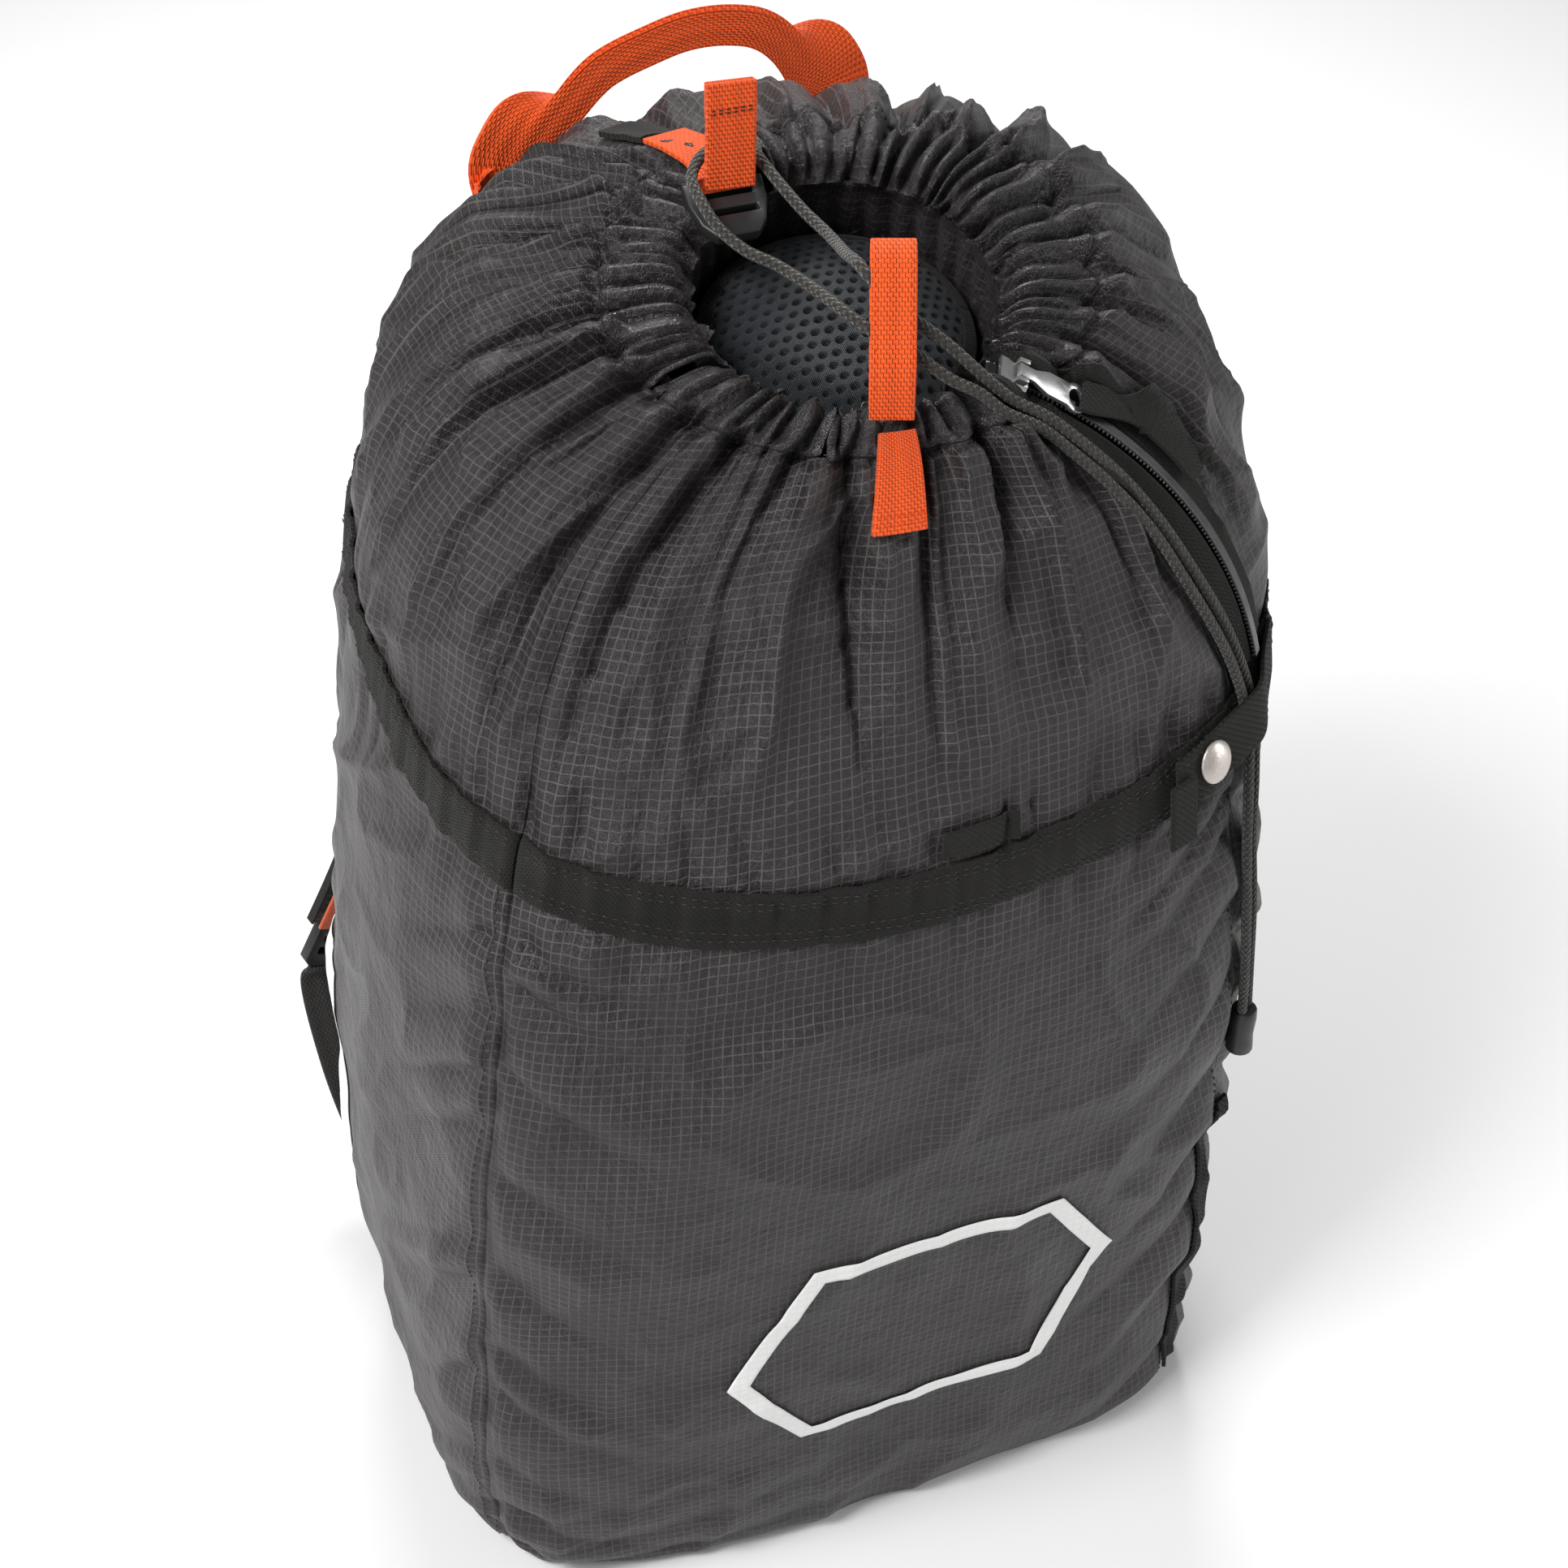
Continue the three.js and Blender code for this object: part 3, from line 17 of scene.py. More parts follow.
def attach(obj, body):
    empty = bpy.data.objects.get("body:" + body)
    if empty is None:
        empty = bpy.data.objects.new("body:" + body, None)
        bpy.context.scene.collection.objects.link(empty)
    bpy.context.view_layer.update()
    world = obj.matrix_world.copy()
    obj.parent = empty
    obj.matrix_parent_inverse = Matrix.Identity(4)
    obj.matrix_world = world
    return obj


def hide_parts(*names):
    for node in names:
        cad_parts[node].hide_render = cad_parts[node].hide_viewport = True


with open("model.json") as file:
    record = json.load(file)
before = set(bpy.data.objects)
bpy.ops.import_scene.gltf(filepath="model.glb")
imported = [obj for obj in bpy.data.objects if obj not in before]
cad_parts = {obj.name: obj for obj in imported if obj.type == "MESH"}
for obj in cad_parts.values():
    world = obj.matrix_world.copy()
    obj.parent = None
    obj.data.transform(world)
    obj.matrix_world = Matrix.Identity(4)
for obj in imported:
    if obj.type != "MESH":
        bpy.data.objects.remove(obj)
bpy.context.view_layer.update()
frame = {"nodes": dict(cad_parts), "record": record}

MM = 0.001
BODY_OF = {
    node: body
    for body, members in frame["record"]["behaviour"]["bodies"].items()
    for node in members
}

# ------------------------------------------------------------------------------ camera

CAMERA_PLACE = Vector((-0.212, -0.578, 0.821))
CAMERA_AZIMUTH = math.radians(-20)
CAMERA_HEIGHT = math.radians(42)
CAMERA_LENS = 55.0
CAMERA_SENSOR = 36.0

camera = bpy.data.objects.new("camera", bpy.data.cameras.new("camera"))
bpy.context.scene.collection.objects.link(camera)
camera_back = Vector(
    (
        math.sin(CAMERA_AZIMUTH) * math.cos(CAMERA_HEIGHT),
        -math.cos(CAMERA_AZIMUTH) * math.cos(CAMERA_HEIGHT),
        math.sin(CAMERA_HEIGHT),
    )
)
camera_right = Vector((math.cos(CAMERA_AZIMUTH), math.sin(CAMERA_AZIMUTH), 0))
camera_up = camera_back.cross(camera_right)
camera.matrix_world = Matrix.Translation(CAMERA_PLACE) @ Matrix(
    (camera_right, camera_up, camera_back)
).transposed().to_4x4()
camera.data.lens = CAMERA_LENS
camera.data.sensor_width = CAMERA_SENSOR
camera.data.clip_start = 0.01
bpy.context.scene.camera = camera

# ------------------------------------------------------------------------------ the sack's skin

WIDTH, DEPTH, HEIGHT = 0.153, 0.123, 0.472
RIM_WIDTH, RIM_DEPTH = 0.046, 0.044

# Each ring: height, half width, half depth, shift along X, shift along Y, squareness, tilt.
RINGS = np.array(
    [
        [0, WIDTH - 0.014, DEPTH - 0.016, -0.008, -0.005, 4.4, 0],
        [0.010, WIDTH - 0.003, DEPTH - 0.008, -0.009, -0.005, 4.4, 0],
        [HEIGHT * 0.16, WIDTH, DEPTH - 0.003, -0.009, -0.006, 4, 0],
        [HEIGHT * 0.33, WIDTH, DEPTH, -0.007, -0.007, 3.6, 0],
        [HEIGHT * 0.51, WIDTH - 0.003, DEPTH + 0.001, -0.003, -0.008, 3.2, 1],
        [HEIGHT * 0.645, WIDTH - 0.007, DEPTH - 0.002, 0.001, -0.004, 2.9, 4],
        [HEIGHT * 0.76, WIDTH - 0.010, DEPTH - 0.006, 0.007, 0.002, 2.6, 12],
        [HEIGHT * 0.86, WIDTH - 0.019, DEPTH - 0.013, 0.009, 0.002, 2.4, 19],
        [HEIGHT - 0.028, WIDTH * 0.73, DEPTH * 0.73, 0.011, -0.002, 2.2, 22],
        [HEIGHT - 0.006, WIDTH * 0.52, DEPTH * 0.52, 0.012, -0.014, 2, 23],
        [HEIGHT, RIM_WIDTH + 0.009, RIM_DEPTH + 0.005, 0.011, -0.020, 2, 22],
        [HEIGHT - 0.006, RIM_WIDTH, RIM_DEPTH, 0.010, -0.0203, 2, 21],
    ]
)
RIM_LEVEL = len(RINGS) - 1
MOUTH_PLACE, MOUTH_LEAN = (0.011, -0.020, HEIGHT), math.radians(22)
LEFT_SEAM, RIGHT_SEAM, BACK_RIGHT_SEAM, BACK_LEFT_SEAM = 220, 315, 400, 140
SEAMS = (LEFT_SEAM, RIGHT_SEAM, BACK_RIGHT_SEAM, BACK_LEFT_SEAM)
BAND_LEVEL, BAND_RISE, BAND_WIDTH = 5.62, 0.5, 0.018
COLLAR_TOP, TUNNEL_FOOT = 9.2, 9.27
LOOP_ANGLE, STRAP_ANCHOR_ANGLE, STRAP_ANCHOR_LEVEL = 264.5, 113, 8.6
FLAP_FREE_ANGLE, FLAP_HINGE_ANGLE = 301, 327


def ring_at(level):
    """Ring values at any level, by a smooth curve through the rings."""
    level = np.asarray(level, float)
    start = np.clip(np.floor(level), 0, RIM_LEVEL - 1).astype(int)
    s = (level - start)[..., None]
    here, after = RINGS[start], RINGS[start + 1]
    first, last = (start > 0)[..., None], (start < RIM_LEVEL - 1)[..., None]
    before = np.where(first, RINGS[np.maximum(start - 1, 0)], 2 * here - after)
    beyond = np.where(last, RINGS[np.minimum(start + 2, RIM_LEVEL)], 2 * after - here)
    slope = after - before
    bend = 2 * before - 5 * here + 4 * after - beyond
    twist = -before + 3 * here - 3 * after + beyond
    return 0.5 * (2 * here + slope * s + bend * s**2 + twist * s**3)


def smooth_point(degrees, level):
    """A place on the smooth form, without folds."""
    degrees, level = np.broadcast_arrays(np.asarray(degrees, float), level)
    z, half_width, half_depth, x, y, squareness, tilt = np.moveaxis(ring_at(level), -1, 0)
    c, s = np.cos(np.radians(degrees)), np.sin(np.radians(degrees))
    reach = (np.abs(c) ** squareness + np.abs(s) ** squareness) ** (-1 / squareness)
    back = half_depth * reach * s
    lean = np.radians(tilt)
    return np.stack(
        [x + half_width * reach * c, y + back * np.cos(lean), z + back * np.sin(lean)], -1
    )


def band_level(degrees):
    """The middle of the hem band, which dips at the front."""
    return BAND_LEVEL + BAND_RISE * (1 + np.sin(np.radians(degrees))) ** 0.6


def zip_angle(level):
    """The zip slants: its angle at each level."""
    return 320 - 4.2 * (level - 6)


def from_mouth(x, y, z):
    """A place in the mouth's own frame: x right, y back and z out of the mouth."""
    return np.array(
        [
            MOUTH_PLACE[0] + x,
            MOUTH_PLACE[1] + y * math.cos(MOUTH_LEAN) - z * math.sin(MOUTH_LEAN),
            MOUTH_PLACE[2] + y * math.sin(MOUTH_LEAN) + z * math.cos(MOUTH_LEAN),
        ]
    )


# The table of the creased skin: one row a level, one column an angle.
ANGLE_CELL = 0.75
LEVEL_CELL = 0.04
TABLE_ANGLES = np.arange(0, 360, ANGLE_CELL)
TABLE_LEVELS = np.arange(0, RIM_LEVEL + LEVEL_CELL / 2, LEVEL_CELL)


def smooth_step(value, low, high):
    """0 below low, 1 above high and a smooth rise between."""
    t = np.clip((np.asarray(value, float) - low) / (high - low), 0, 1)
    return t * t * (3 - 2 * t)


def turn_between(angle, other):
    """Degrees from other to angle, the short way round."""
    return (angle - other + 180) % 360 - 180


def bell(value, width):
    """1 at 0 and falling away smoothly over about that width."""
    return np.exp(-((value / width) ** 2))


def cloth_noise(points, size, seed, ridged=False):
    """Noise over points, of about that size in metres; ridged noise has sharp crests."""
    shift = Vector((seed * 7.3, seed * 3.1, seed * 1.7))
    found = np.array([noise.noise(Vector(p) / size + shift) for p in points.reshape(-1, 3)])
    found = found.reshape(points.shape[:-1])
    return (1 - 2.2 * np.abs(found)) ** 3 if ridged else found


def pleats(angle, level, count, seed, slant):
    """Uneven pleats: 1 on each round crest and 0 in each sharp valley, with a weight each."""
    draw = np.random.RandomState(seed)
    widths = 0.62 + 0.76 * draw.rand(count)
    edges = np.concatenate([[0], np.cumsum(widths)]) * 360 / widths.sum()
    leans = slant * (draw.rand(count) - 0.5)
    starts = draw.rand(count)
    depths = 0.45 + 0.55 * draw.rand(count)
    place = np.interp(angle % 360, edges, np.arange(count + 1))
    lean = np.interp(place % count, np.arange(count + 1), np.append(leans, leans[0]))
    place = (place + lean * (COLLAR_TOP - level)) % count
    index = np.floor(place).astype(int) % count
    # Each pleat leans over to one side, so one flank is steep.
    share = (place - np.floor(place)) ** (0.62 + 0.9 * draw.rand(count))[index]
    crest = np.sin(math.pi * share) ** 0.62
    return crest, starts[index], depths[index]


# How far each kind of fold stands up, in metres. CREST_SHARE is a pleat's mean height.
BROAD_SWELL, SMALL_SWELL, LONG_CREASE, SHORT_CREASE = 0.0045, 0.0020, 0.0030, 0.0016
LONG_PLEAT, SHORT_PLEAT, STREAK, BAND_GATHER = 0.0165, 0.0070, 0.0052, 0.0055
SEAM_PUCKER, SEAM_GROOVE, BASE_CREASE = 0.0085, 0.0016, 0.0022
TUNNEL_GATHER, TUNNEL_PUFF, TUNNEL_SEAM = 0.0086, 0.001, 0.0022
CREST_SHARE = 0.66


def skin_folds(angle, level, points):
    """How far the cloth stands out of the smooth surface, in metres."""
    arc = 0.0024 * angle
    lift = BROAD_SWELL * cloth_noise(points, 0.085, 1)
    lift += SMALL_SWELL * cloth_noise(points, 0.036, 2)
    # Sharp slanting creases on the body and the collar.
    turned = points @ np.array([[0.8, 0.2, 0.5], [-0.3, 1.0, 0.3], [-0.5, 0.1, 0.75]])
    lift += LONG_CREASE * np.clip(cloth_noise(turned, 0.075, 3, True), 0, 1)
    lift += SHORT_CREASE * np.clip(cloth_noise(turned[..., ::-1], 0.040, 4, True), 0, 1)
    # Long pleats that run down from the tunnel, and finer ones beside it.
    crest, start, depth = pleats(angle, level, 26, 5, 0.42)
    reach = smooth_step(level, 5.9 + 1.7 * start, 8.9)
    lift += LONG_PLEAT * depth * reach * (crest - CREST_SHARE)
    fan = np.stack([arc * 1.9, level * 0.020, 0 * arc], -1)
    streaks = np.clip(cloth_noise(fan, 0.036, 9, True), 0, 1)
    lift += STREAK * streaks * smooth_step(level, 6.2, 7.6) * (1 - smooth_step(level, 9.1, 9.25))
    crest, start, depth = pleats(angle, level, 47, 6, 0.6)
    reach = smooth_step(level, 7.5 + 0.8 * start, COLLAR_TOP)
    lift += SHORT_PLEAT * depth * reach * (crest - CREST_SHARE)
    # Gathers above and below the hem band.
    above_band = level - band_level(angle)
    crest, start, depth = pleats(angle, 9.2 - 2.2 * above_band, 52, 7, 0.8)
    above = smooth_step(above_band, 0.1, 0.35) * bell(above_band - 0.2, 0.55)
    below = smooth_step(-above_band, 0.1, 0.3) * bell(above_band + 0.2, 0.42)
    lift += BAND_GATHER * depth * (0.9 * above + 0.6 * below) * (crest - CREST_SHARE)
    # Slanting puckers that leave the two front seams and the back seams.
    for seam, side, seed in (
        (LEFT_SEAM, 1, 11), (LEFT_SEAM, -1, 12), (RIGHT_SEAM, -1, 13), (RIGHT_SEAM, 1, 14),
        (BACK_RIGHT_SEAM, 1, 15), (BACK_RIGHT_SEAM, -1, 16), (BACK_LEFT_SEAM, 1, 17),
        (BACK_LEFT_SEAM, -1, 18),
    ):
        away = side * turn_between(angle, seam)
        near = np.where(away > 0, smooth_step(away, 0.3, 2.5) * bell(away, 15), 0)
        rows = level * 46 + 1.25 * away
        crest, start, depth = pleats(rows % 360, 9.2, 17, seed, 0)
        on_body = smooth_step(level, 0.6, 1.2) * smooth_step(-above_band, 0.05, 0.4)
        lift += SEAM_PUCKER * depth * near * on_body * (crest - CREST_SHARE)
        lift -= SEAM_GROOVE * bell(away, 1.1) * smooth_step(level, 0.3, 0.8) * (side > 0)
    # Level creases just above the base's edge.
    low = smooth_step(level, 0.5, 1.0) * (1 - smooth_step(level, 1.4, 2.2))
    wave = np.abs(np.sin(level * 9 + 2.5 * np.sin(arc * 16)))
    lift += BASE_CREASE * low * (wave**0.7 - 0.6) * (0.5 + 0.5 * np.sin(arc * 23 + 1))
    # Quiet places: the base's edge, under the band, beside the zip and under flat pieces.
    lift *= smooth_step(level, 0.1, 1.1)
    lift *= 1 - 0.86 * bell(above_band, 0.2)
    from_zip = np.abs(turn_between(angle, zip_angle(level)))
    lift *= 1 - smooth_step(level, 5.6, 5.9) * (1 - smooth_step(from_zip, 3.5, 10))
    lift *= 1 - 0.55 * bell(turn_between(angle, 273), 24) * bell(level - 2.6, 0.75)
    # The seam where the tunnel is sewn on pulls the cloth in.
    lift -= TUNNEL_SEAM * bell(level - 9.23, 0.06)
    # Fine gathers of the tunnel itself.
    crest, start, depth = pleats(angle, level, 58, 8, 0.5)
    tunnel = smooth_step(level, TUNNEL_FOOT, 9.55) * (1 - 0.6 * smooth_step(level, 10.5, 11))
    puffed = bell(level - 9.95, 0.55)
    gathered = TUNNEL_GATHER * depth * tunnel * (crest - CREST_SHARE) + TUNNEL_PUFF * puffed
    lift = np.where(level > TUNNEL_FOOT, lift * (1 - 0.75 * tunnel) + gathered, lift)
    # Flat under the foot of the front loop and under the top strap's anchor.
    under_loop = bell(turn_between(angle, LOOP_ANGLE), 4.2) * smooth_step(level, 8.2, 8.6)
    beside_anchor = bell(turn_between(angle, STRAP_ANCHOR_ANGLE), 6)
    under_anchor = beside_anchor * bell(level - STRAP_ANCHOR_LEVEL, 0.35)
    return lift * (1 - 0.92 * under_loop) * (1 - 0.8 * under_anchor)


def made_table():
    """The smooth places, the directions out of them and the creased places."""
    angle, level = np.meshgrid(TABLE_ANGLES, TABLE_LEVELS)
    smooth = smooth_point(angle, level)
    round_way = np.roll(smooth, -1, 1) - np.roll(smooth, 1, 1)
    up_way = np.gradient(smooth, axis=0)
    out = np.cross(round_way, up_way)
    out /= np.linalg.norm(out, axis=-1, keepdims=True)
    points = smooth + out * skin_folds(angle, level, smooth)[..., None]
    return smooth, out, points


smooth_table, smooth_out, skin_table = made_table()


def table_look_up(table, degrees, level):
    """A value of the table between its cells, for any angle and level."""
    degrees, level = np.broadcast_arrays(np.asarray(degrees, float), level)
    column = (degrees % 360) / ANGLE_CELL
    row = np.clip(level, 0, RIM_LEVEL - 1e-6) / LEVEL_CELL
    left, low = np.floor(column).astype(int), np.floor(row).astype(int)
    across, up = (column - left)[..., None], (row - low)[..., None]
    left %= len(TABLE_ANGLES)
    right = (left + 1) % len(TABLE_ANGLES)
    high = np.minimum(low + 1, len(TABLE_LEVELS) - 1)
    near = table[low, left] * (1 - across) + table[low, right] * across
    far = table[high, left] * (1 - across) + table[high, right] * across
    return near * (1 - up) + far * up


def table_normals(points):
    """The direction out of the cloth at each cell of a table of places."""
    round_way = np.roll(points, -1, 1) - np.roll(points, 1, 1)
    out = np.cross(round_way, np.gradient(points, axis=0))
    return out / np.linalg.norm(out, axis=-1, keepdims=True)


skin_out = table_normals(skin_table)


def on_skin(degrees, level, lift=0.0):
    """A place on the creased cloth, lifted off it."""
    out = table_look_up(skin_out, degrees, level)
    out /= np.linalg.norm(out, axis=-1, keepdims=True)
    return table_look_up(skin_table, degrees, level) + out * np.asarray(lift)[..., None]


def on_form(degrees, level, lift=0.0):
    """A place on the smooth form under the creases, lifted off it."""
    out = table_look_up(smooth_out, degrees, level)
    out /= np.linalg.norm(out, axis=-1, keepdims=True)
    return smooth_point(degrees, level) + out * np.asarray(lift)[..., None]


def degrees_for(distance, degrees, level):
    """How many degrees round the sack a distance takes there."""
    step = smooth_point(degrees + 1, level) - smooth_point(degrees - 1, level)
    return distance * 2 / np.linalg.norm(step, axis=-1)


def levels_for(distance, degrees, level):
    """How many levels up the sack a distance takes there."""
    step = smooth_point(degrees, level + 0.02) - smooth_point(degrees, level - 0.02)
    return distance * 0.04 / np.linalg.norm(step, axis=-1)


def off_band(degrees, distance):
    """The level at a distance above the middle of the hem band."""
    middle = band_level(degrees)
    return middle + levels_for(distance, degrees, middle)


def at(edge, place):
    """An edge's value at a place: edge is a number, or a function of the place."""
    return edge(place) if callable(edge) else edge


# ------------------------------------------------------------------------------ making pieces

EDGE_TURN = math.radians(32)
RIM_TURN = math.radians(65)
SIDEWAYS = np.array([1.0, 0, 0])
WEBBING_THICKNESS = 0.0016


def finished(name, bm, nodes=(), body="shell", made_of=(), smooth=True):
    """The piece from its bmesh, on its body, in its materials, standing for its CAD nodes."""
    mesh = bpy.data.meshes.new(name)
    bm.normal_update()
    bm.to_mesh(mesh)
    bm.free()
    if smooth:
        mesh.polygons.foreach_set("use_smooth", np.ones(len(mesh.polygons), bool))
    piece = bpy.data.objects.new(name, mesh)
    bpy.context.scene.collection.objects.link(piece)
    for finish in made_of:
        mesh.materials.append(finish)
    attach(piece, body)
    if nodes:
        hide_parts(*nodes)
    return piece


def cloth_grid(columns, rows, place, size, closed=False):
    """A grid bent to place(a, b), with its cloth measured in metres in its UV map."""
    bm = bmesh.new()
    uv = bm.loops.layers.uv.new("cloth")
    bmesh.ops.create_grid(bm, x_segments=columns, y_segments=rows, size=0.5, calc_uvs=True)
    bm.verts.ensure_lookup_table()
    flat = np.array([v.co[:2] for v in bm.verts]) + 0.5
    for face in bm.faces:
        for loop in face.loops:
            a, b = loop.vert.co.x + 0.5, loop.vert.co.y + 0.5
            loop[uv].uv = (a * size[0], b * size[1]) if len(size) == 2 else size[2](a, b)
    bent = place(flat[:, 0], flat[:, 1])
    for vert, point in zip(bm.verts, bent):
        vert.co = point
    if closed:
        bmesh.ops.remove_doubles(bm, verts=bm.verts, dist=1e-6)
    return bm


def round_edges(bm, turn, width, segments):
    """Bevels the edges where the faces turn by more than that angle."""
    bm.normal_update()
    sharp = [e for e in bm.edges if e.is_manifold and e.calc_face_angle(0) > turn]
    bmesh.ops.bevel(
        bm, geom=sharp, offset=width, segments=segments, profile=0.5, affect="EDGES",
        material=-1, clamp_overlap=True,
    )


def thicken(bm, thickness, round_edge=0.0):
    """Gives an open sheet its thickness, on the side that its faces turn away from."""
    bm.normal_update()
    way_out = bm.verts.layers.float_vector.new("way_out")
    for vert in bm.verts:
        vert[way_out] = vert.normal
    made = bmesh.ops.extrude_face_region(bm, geom=bm.faces[:])
    for vert in made["geom"]:
        if isinstance(vert, bmesh.types.BMVert):
            vert.co -= vert[way_out] * thickness
    bm.verts.layers.float_vector.remove(bm.verts.layers.float_vector["way_out"])
    bmesh.ops.recalc_face_normals(bm, faces=bm.faces)
    if round_edge:
        round_edges(bm, RIM_TURN, round_edge, 2)
    return bm


def sewn_patch(name, angles, levels, lift, thickness, steps, size, nodes, made_of,
               round_edge=0.0003, body="shell", surface=None):
    """A flat piece sewn on the cloth between two angles and two levels."""
    from_angle, to_angle = angles
    from_level, to_level = levels
    surface = surface or on_skin

    def place(a, b):
        angle = from_angle + (to_angle - from_angle) * a
        low, high = at(from_level, angle), at(to_level, angle)
        level = low + (high - low) * b
        up = lift(angle, level) if callable(lift) else lift + 0 * a
        return surface(angle, level, up + thickness)

    bm = cloth_grid(*steps, place, size)
    thicken(bm, thickness, round_edge)
    return finished(name, bm, nodes, body, made_of)


def smooth_line(points, count):
    """Evenly spaced places on a smooth line through the points (centripetal Catmull-Rom)."""
    points = np.asarray(points, float)
    ends = np.vstack([2 * points[0] - points[1], points, 2 * points[-1] - points[-2]])
    gaps = np.maximum(np.linalg.norm(np.diff(ends, axis=0), axis=1), 1e-9) ** 0.5
    dense = []
    for i in range(1, len(ends) - 2):
        p0, p1, p2, p3 = ends[i - 1 : i + 3]
        d0, d1, d2 = gaps[i - 1 : i + 2]
        leave = ((p1 - p0) / d0 - (p2 - p0) / (d0 + d1) + (p2 - p1) / d1) * d1
        meet = ((p2 - p1) / d1 - (p3 - p1) / (d1 + d2) + (p3 - p2) / d2) * d1
        t = np.linspace(0, 1, 24, endpoint=False)[:, None]
        rest = 2 * p1 - 2 * p2 + leave + meet
        dense.append(p1 + leave * t + (-3 * p1 + 3 * p2 - 2 * leave - meet) * t**2 + rest * t**3)
    dense = np.vstack([*dense, ends[-2:-1]])
    run = np.concatenate([[0], np.cumsum(np.linalg.norm(np.diff(dense, axis=0), axis=1))])
    even = np.linspace(0, run[-1], count)
    return np.stack([np.interp(even, run, dense[:, k]) for k in range(3)], 1), run[-1]


def unit(vectors):
    """Each vector at length 1."""
    return vectors / np.linalg.norm(vectors, axis=-1, keepdims=True)


def strip_along(line, across, width, thickness, columns=6, shape=None, closed=False):
    """Webbing along a line. across is the direction over it and width may change along it."""
    count = len(line)
    tangent = unit(np.gradient(line, axis=0))
    if closed:
        tangent = unit(np.roll(line, -1, 0) - np.roll(line, 1, 0))
    across = np.broadcast_to(np.asarray(across, float), line.shape)
    across = unit(across - (across * tangent).sum(1, keepdims=True) * tangent)
    out = np.cross(across, tangent)
    width = np.broadcast_to(width, count)
    length = np.linalg.norm(np.diff(line, axis=0), axis=1).sum()

    def place(a, b):
        row = np.rint(b * (count - 1)).astype(int)
        side = (a - 0.5)[:, None]
        point = line[row] + across[row] * side * width[row][:, None]
        point = point + out[row] * thickness / 2
        return point + shape(a, b, across[row], out[row]) if shape else point

    bm = cloth_grid(columns, count - 1, place, (float(width.max()), length), closed)
    return thicken(bm, thickness, min(0.0004, 0.3 * thickness))


def tube_along(name, points, radius, nodes, made_of, sides=12, step=0.0016):
    """A round cord along the points, with its run round and along it in the UV map."""
    length = smooth_line(points, 50)[1]
    count = int(length / step) + 1
    line, length = smooth_line(points, count)
    tangent = unit(np.gradient(line, axis=0))
    side = [unit(np.cross(tangent[0], [0.3, 0.2, 1.0]))]
    for t in tangent[1:]:
        turned = side[-1] - t * np.dot(side[-1], t)
        side.append(turned / np.linalg.norm(turned))
    side = np.array(side)
    up = np.cross(tangent, side)

    def place(a, b):
        row = np.rint(b * (count - 1)).astype(int)
        turn = 2 * math.pi * a
        spread = np.cos(turn)[:, None] * side[row] + np.sin(turn)[:, None] * up[row]
        return line[row] + radius * spread

    bm = cloth_grid(sides, count - 1, place, (1, length), closed=True)
    rims = [e for e in bm.edges if e.is_boundary]
    bmesh.ops.holes_fill(bm, edges=rims, sides=0)
    bmesh.ops.recalc_face_normals(bm, faces=bm.faces)
    return finished(name, bm, nodes, "shell", made_of), line, length


def stitches(name, points, out, made_of, length=0.0021, gap=0.0012, width=0.00042, body="shell"):
    """A row of thread stitches along the points, each a small rounded bar."""
    points, out = np.asarray(points, float), np.asarray(out, float)
    run = np.concatenate([[0], np.cumsum(np.linalg.norm(np.diff(points, axis=0), axis=1))])
    count = max(int(run[-1] / (length + gap)), 1)
    middles = (np.arange(count) + 0.5) * run[-1] / count
    bm = bmesh.new()
    for middle in middles:
        ends = [
            np.array([np.interp(middle + s * length / 2, run, points[:, k]) for k in range(3)])
            for s in (-1, 1)
        ]
        up = np.array([np.interp(middle, run, out[:, k]) for k in range(3)])
        along = Vector(ends[1] - ends[0])
        if along.length < 1e-6:
            continue
        x = along.normalized()
        z = (Vector(up) - x * x.dot(Vector(up))).normalized()
        turn = Matrix((x, z.cross(x), z)).transposed().to_4x4()
        size = Matrix.Diagonal((length / 2, width / 2, width / 2, 1))
        place = Matrix.Translation(Vector((ends[0] + ends[1]) / 2)) @ turn @ size
        bmesh.ops.create_uvsphere(bm, u_segments=6, v_segments=4, radius=1, matrix=place)
    return finished(name, bm, (), body, made_of)


def sewn_stitches(name, angles, levels, lift, made_of, surface=None, **shape):
    """Stitches through the places at those angles and levels, standing up from the cloth."""
    surface = surface or on_skin
    up = surface(angles, levels, 0.02) - surface(angles, levels, 0.0)
    return stitches(name, surface(angles, levels, lift), up, made_of, **shape)


def refined_copy(node, edge, made_of, segments=2, name=None):
    """A CAD node's shape with rounded edges and clean faces."""
    bm = bmesh.new()
    bm.from_mesh(frame["nodes"][node].data)
    bmesh.ops.remove_doubles(bm, verts=bm.verts, dist=1e-6)
    bmesh.ops.dissolve_limit(
        bm, angle_limit=math.radians(1.5), verts=bm.verts[:], edges=bm.edges[:]
    )
    round_edges(bm, EDGE_TURN, edge, segments)
    bmesh.ops.triangulate(bm, faces=[f for f in bm.faces if len(f.verts) > 4])
    return finished(name or node + "_piece", bm, (node,), BODY_OF[node], made_of)


# ------------------------------------------------------------------------------ materials


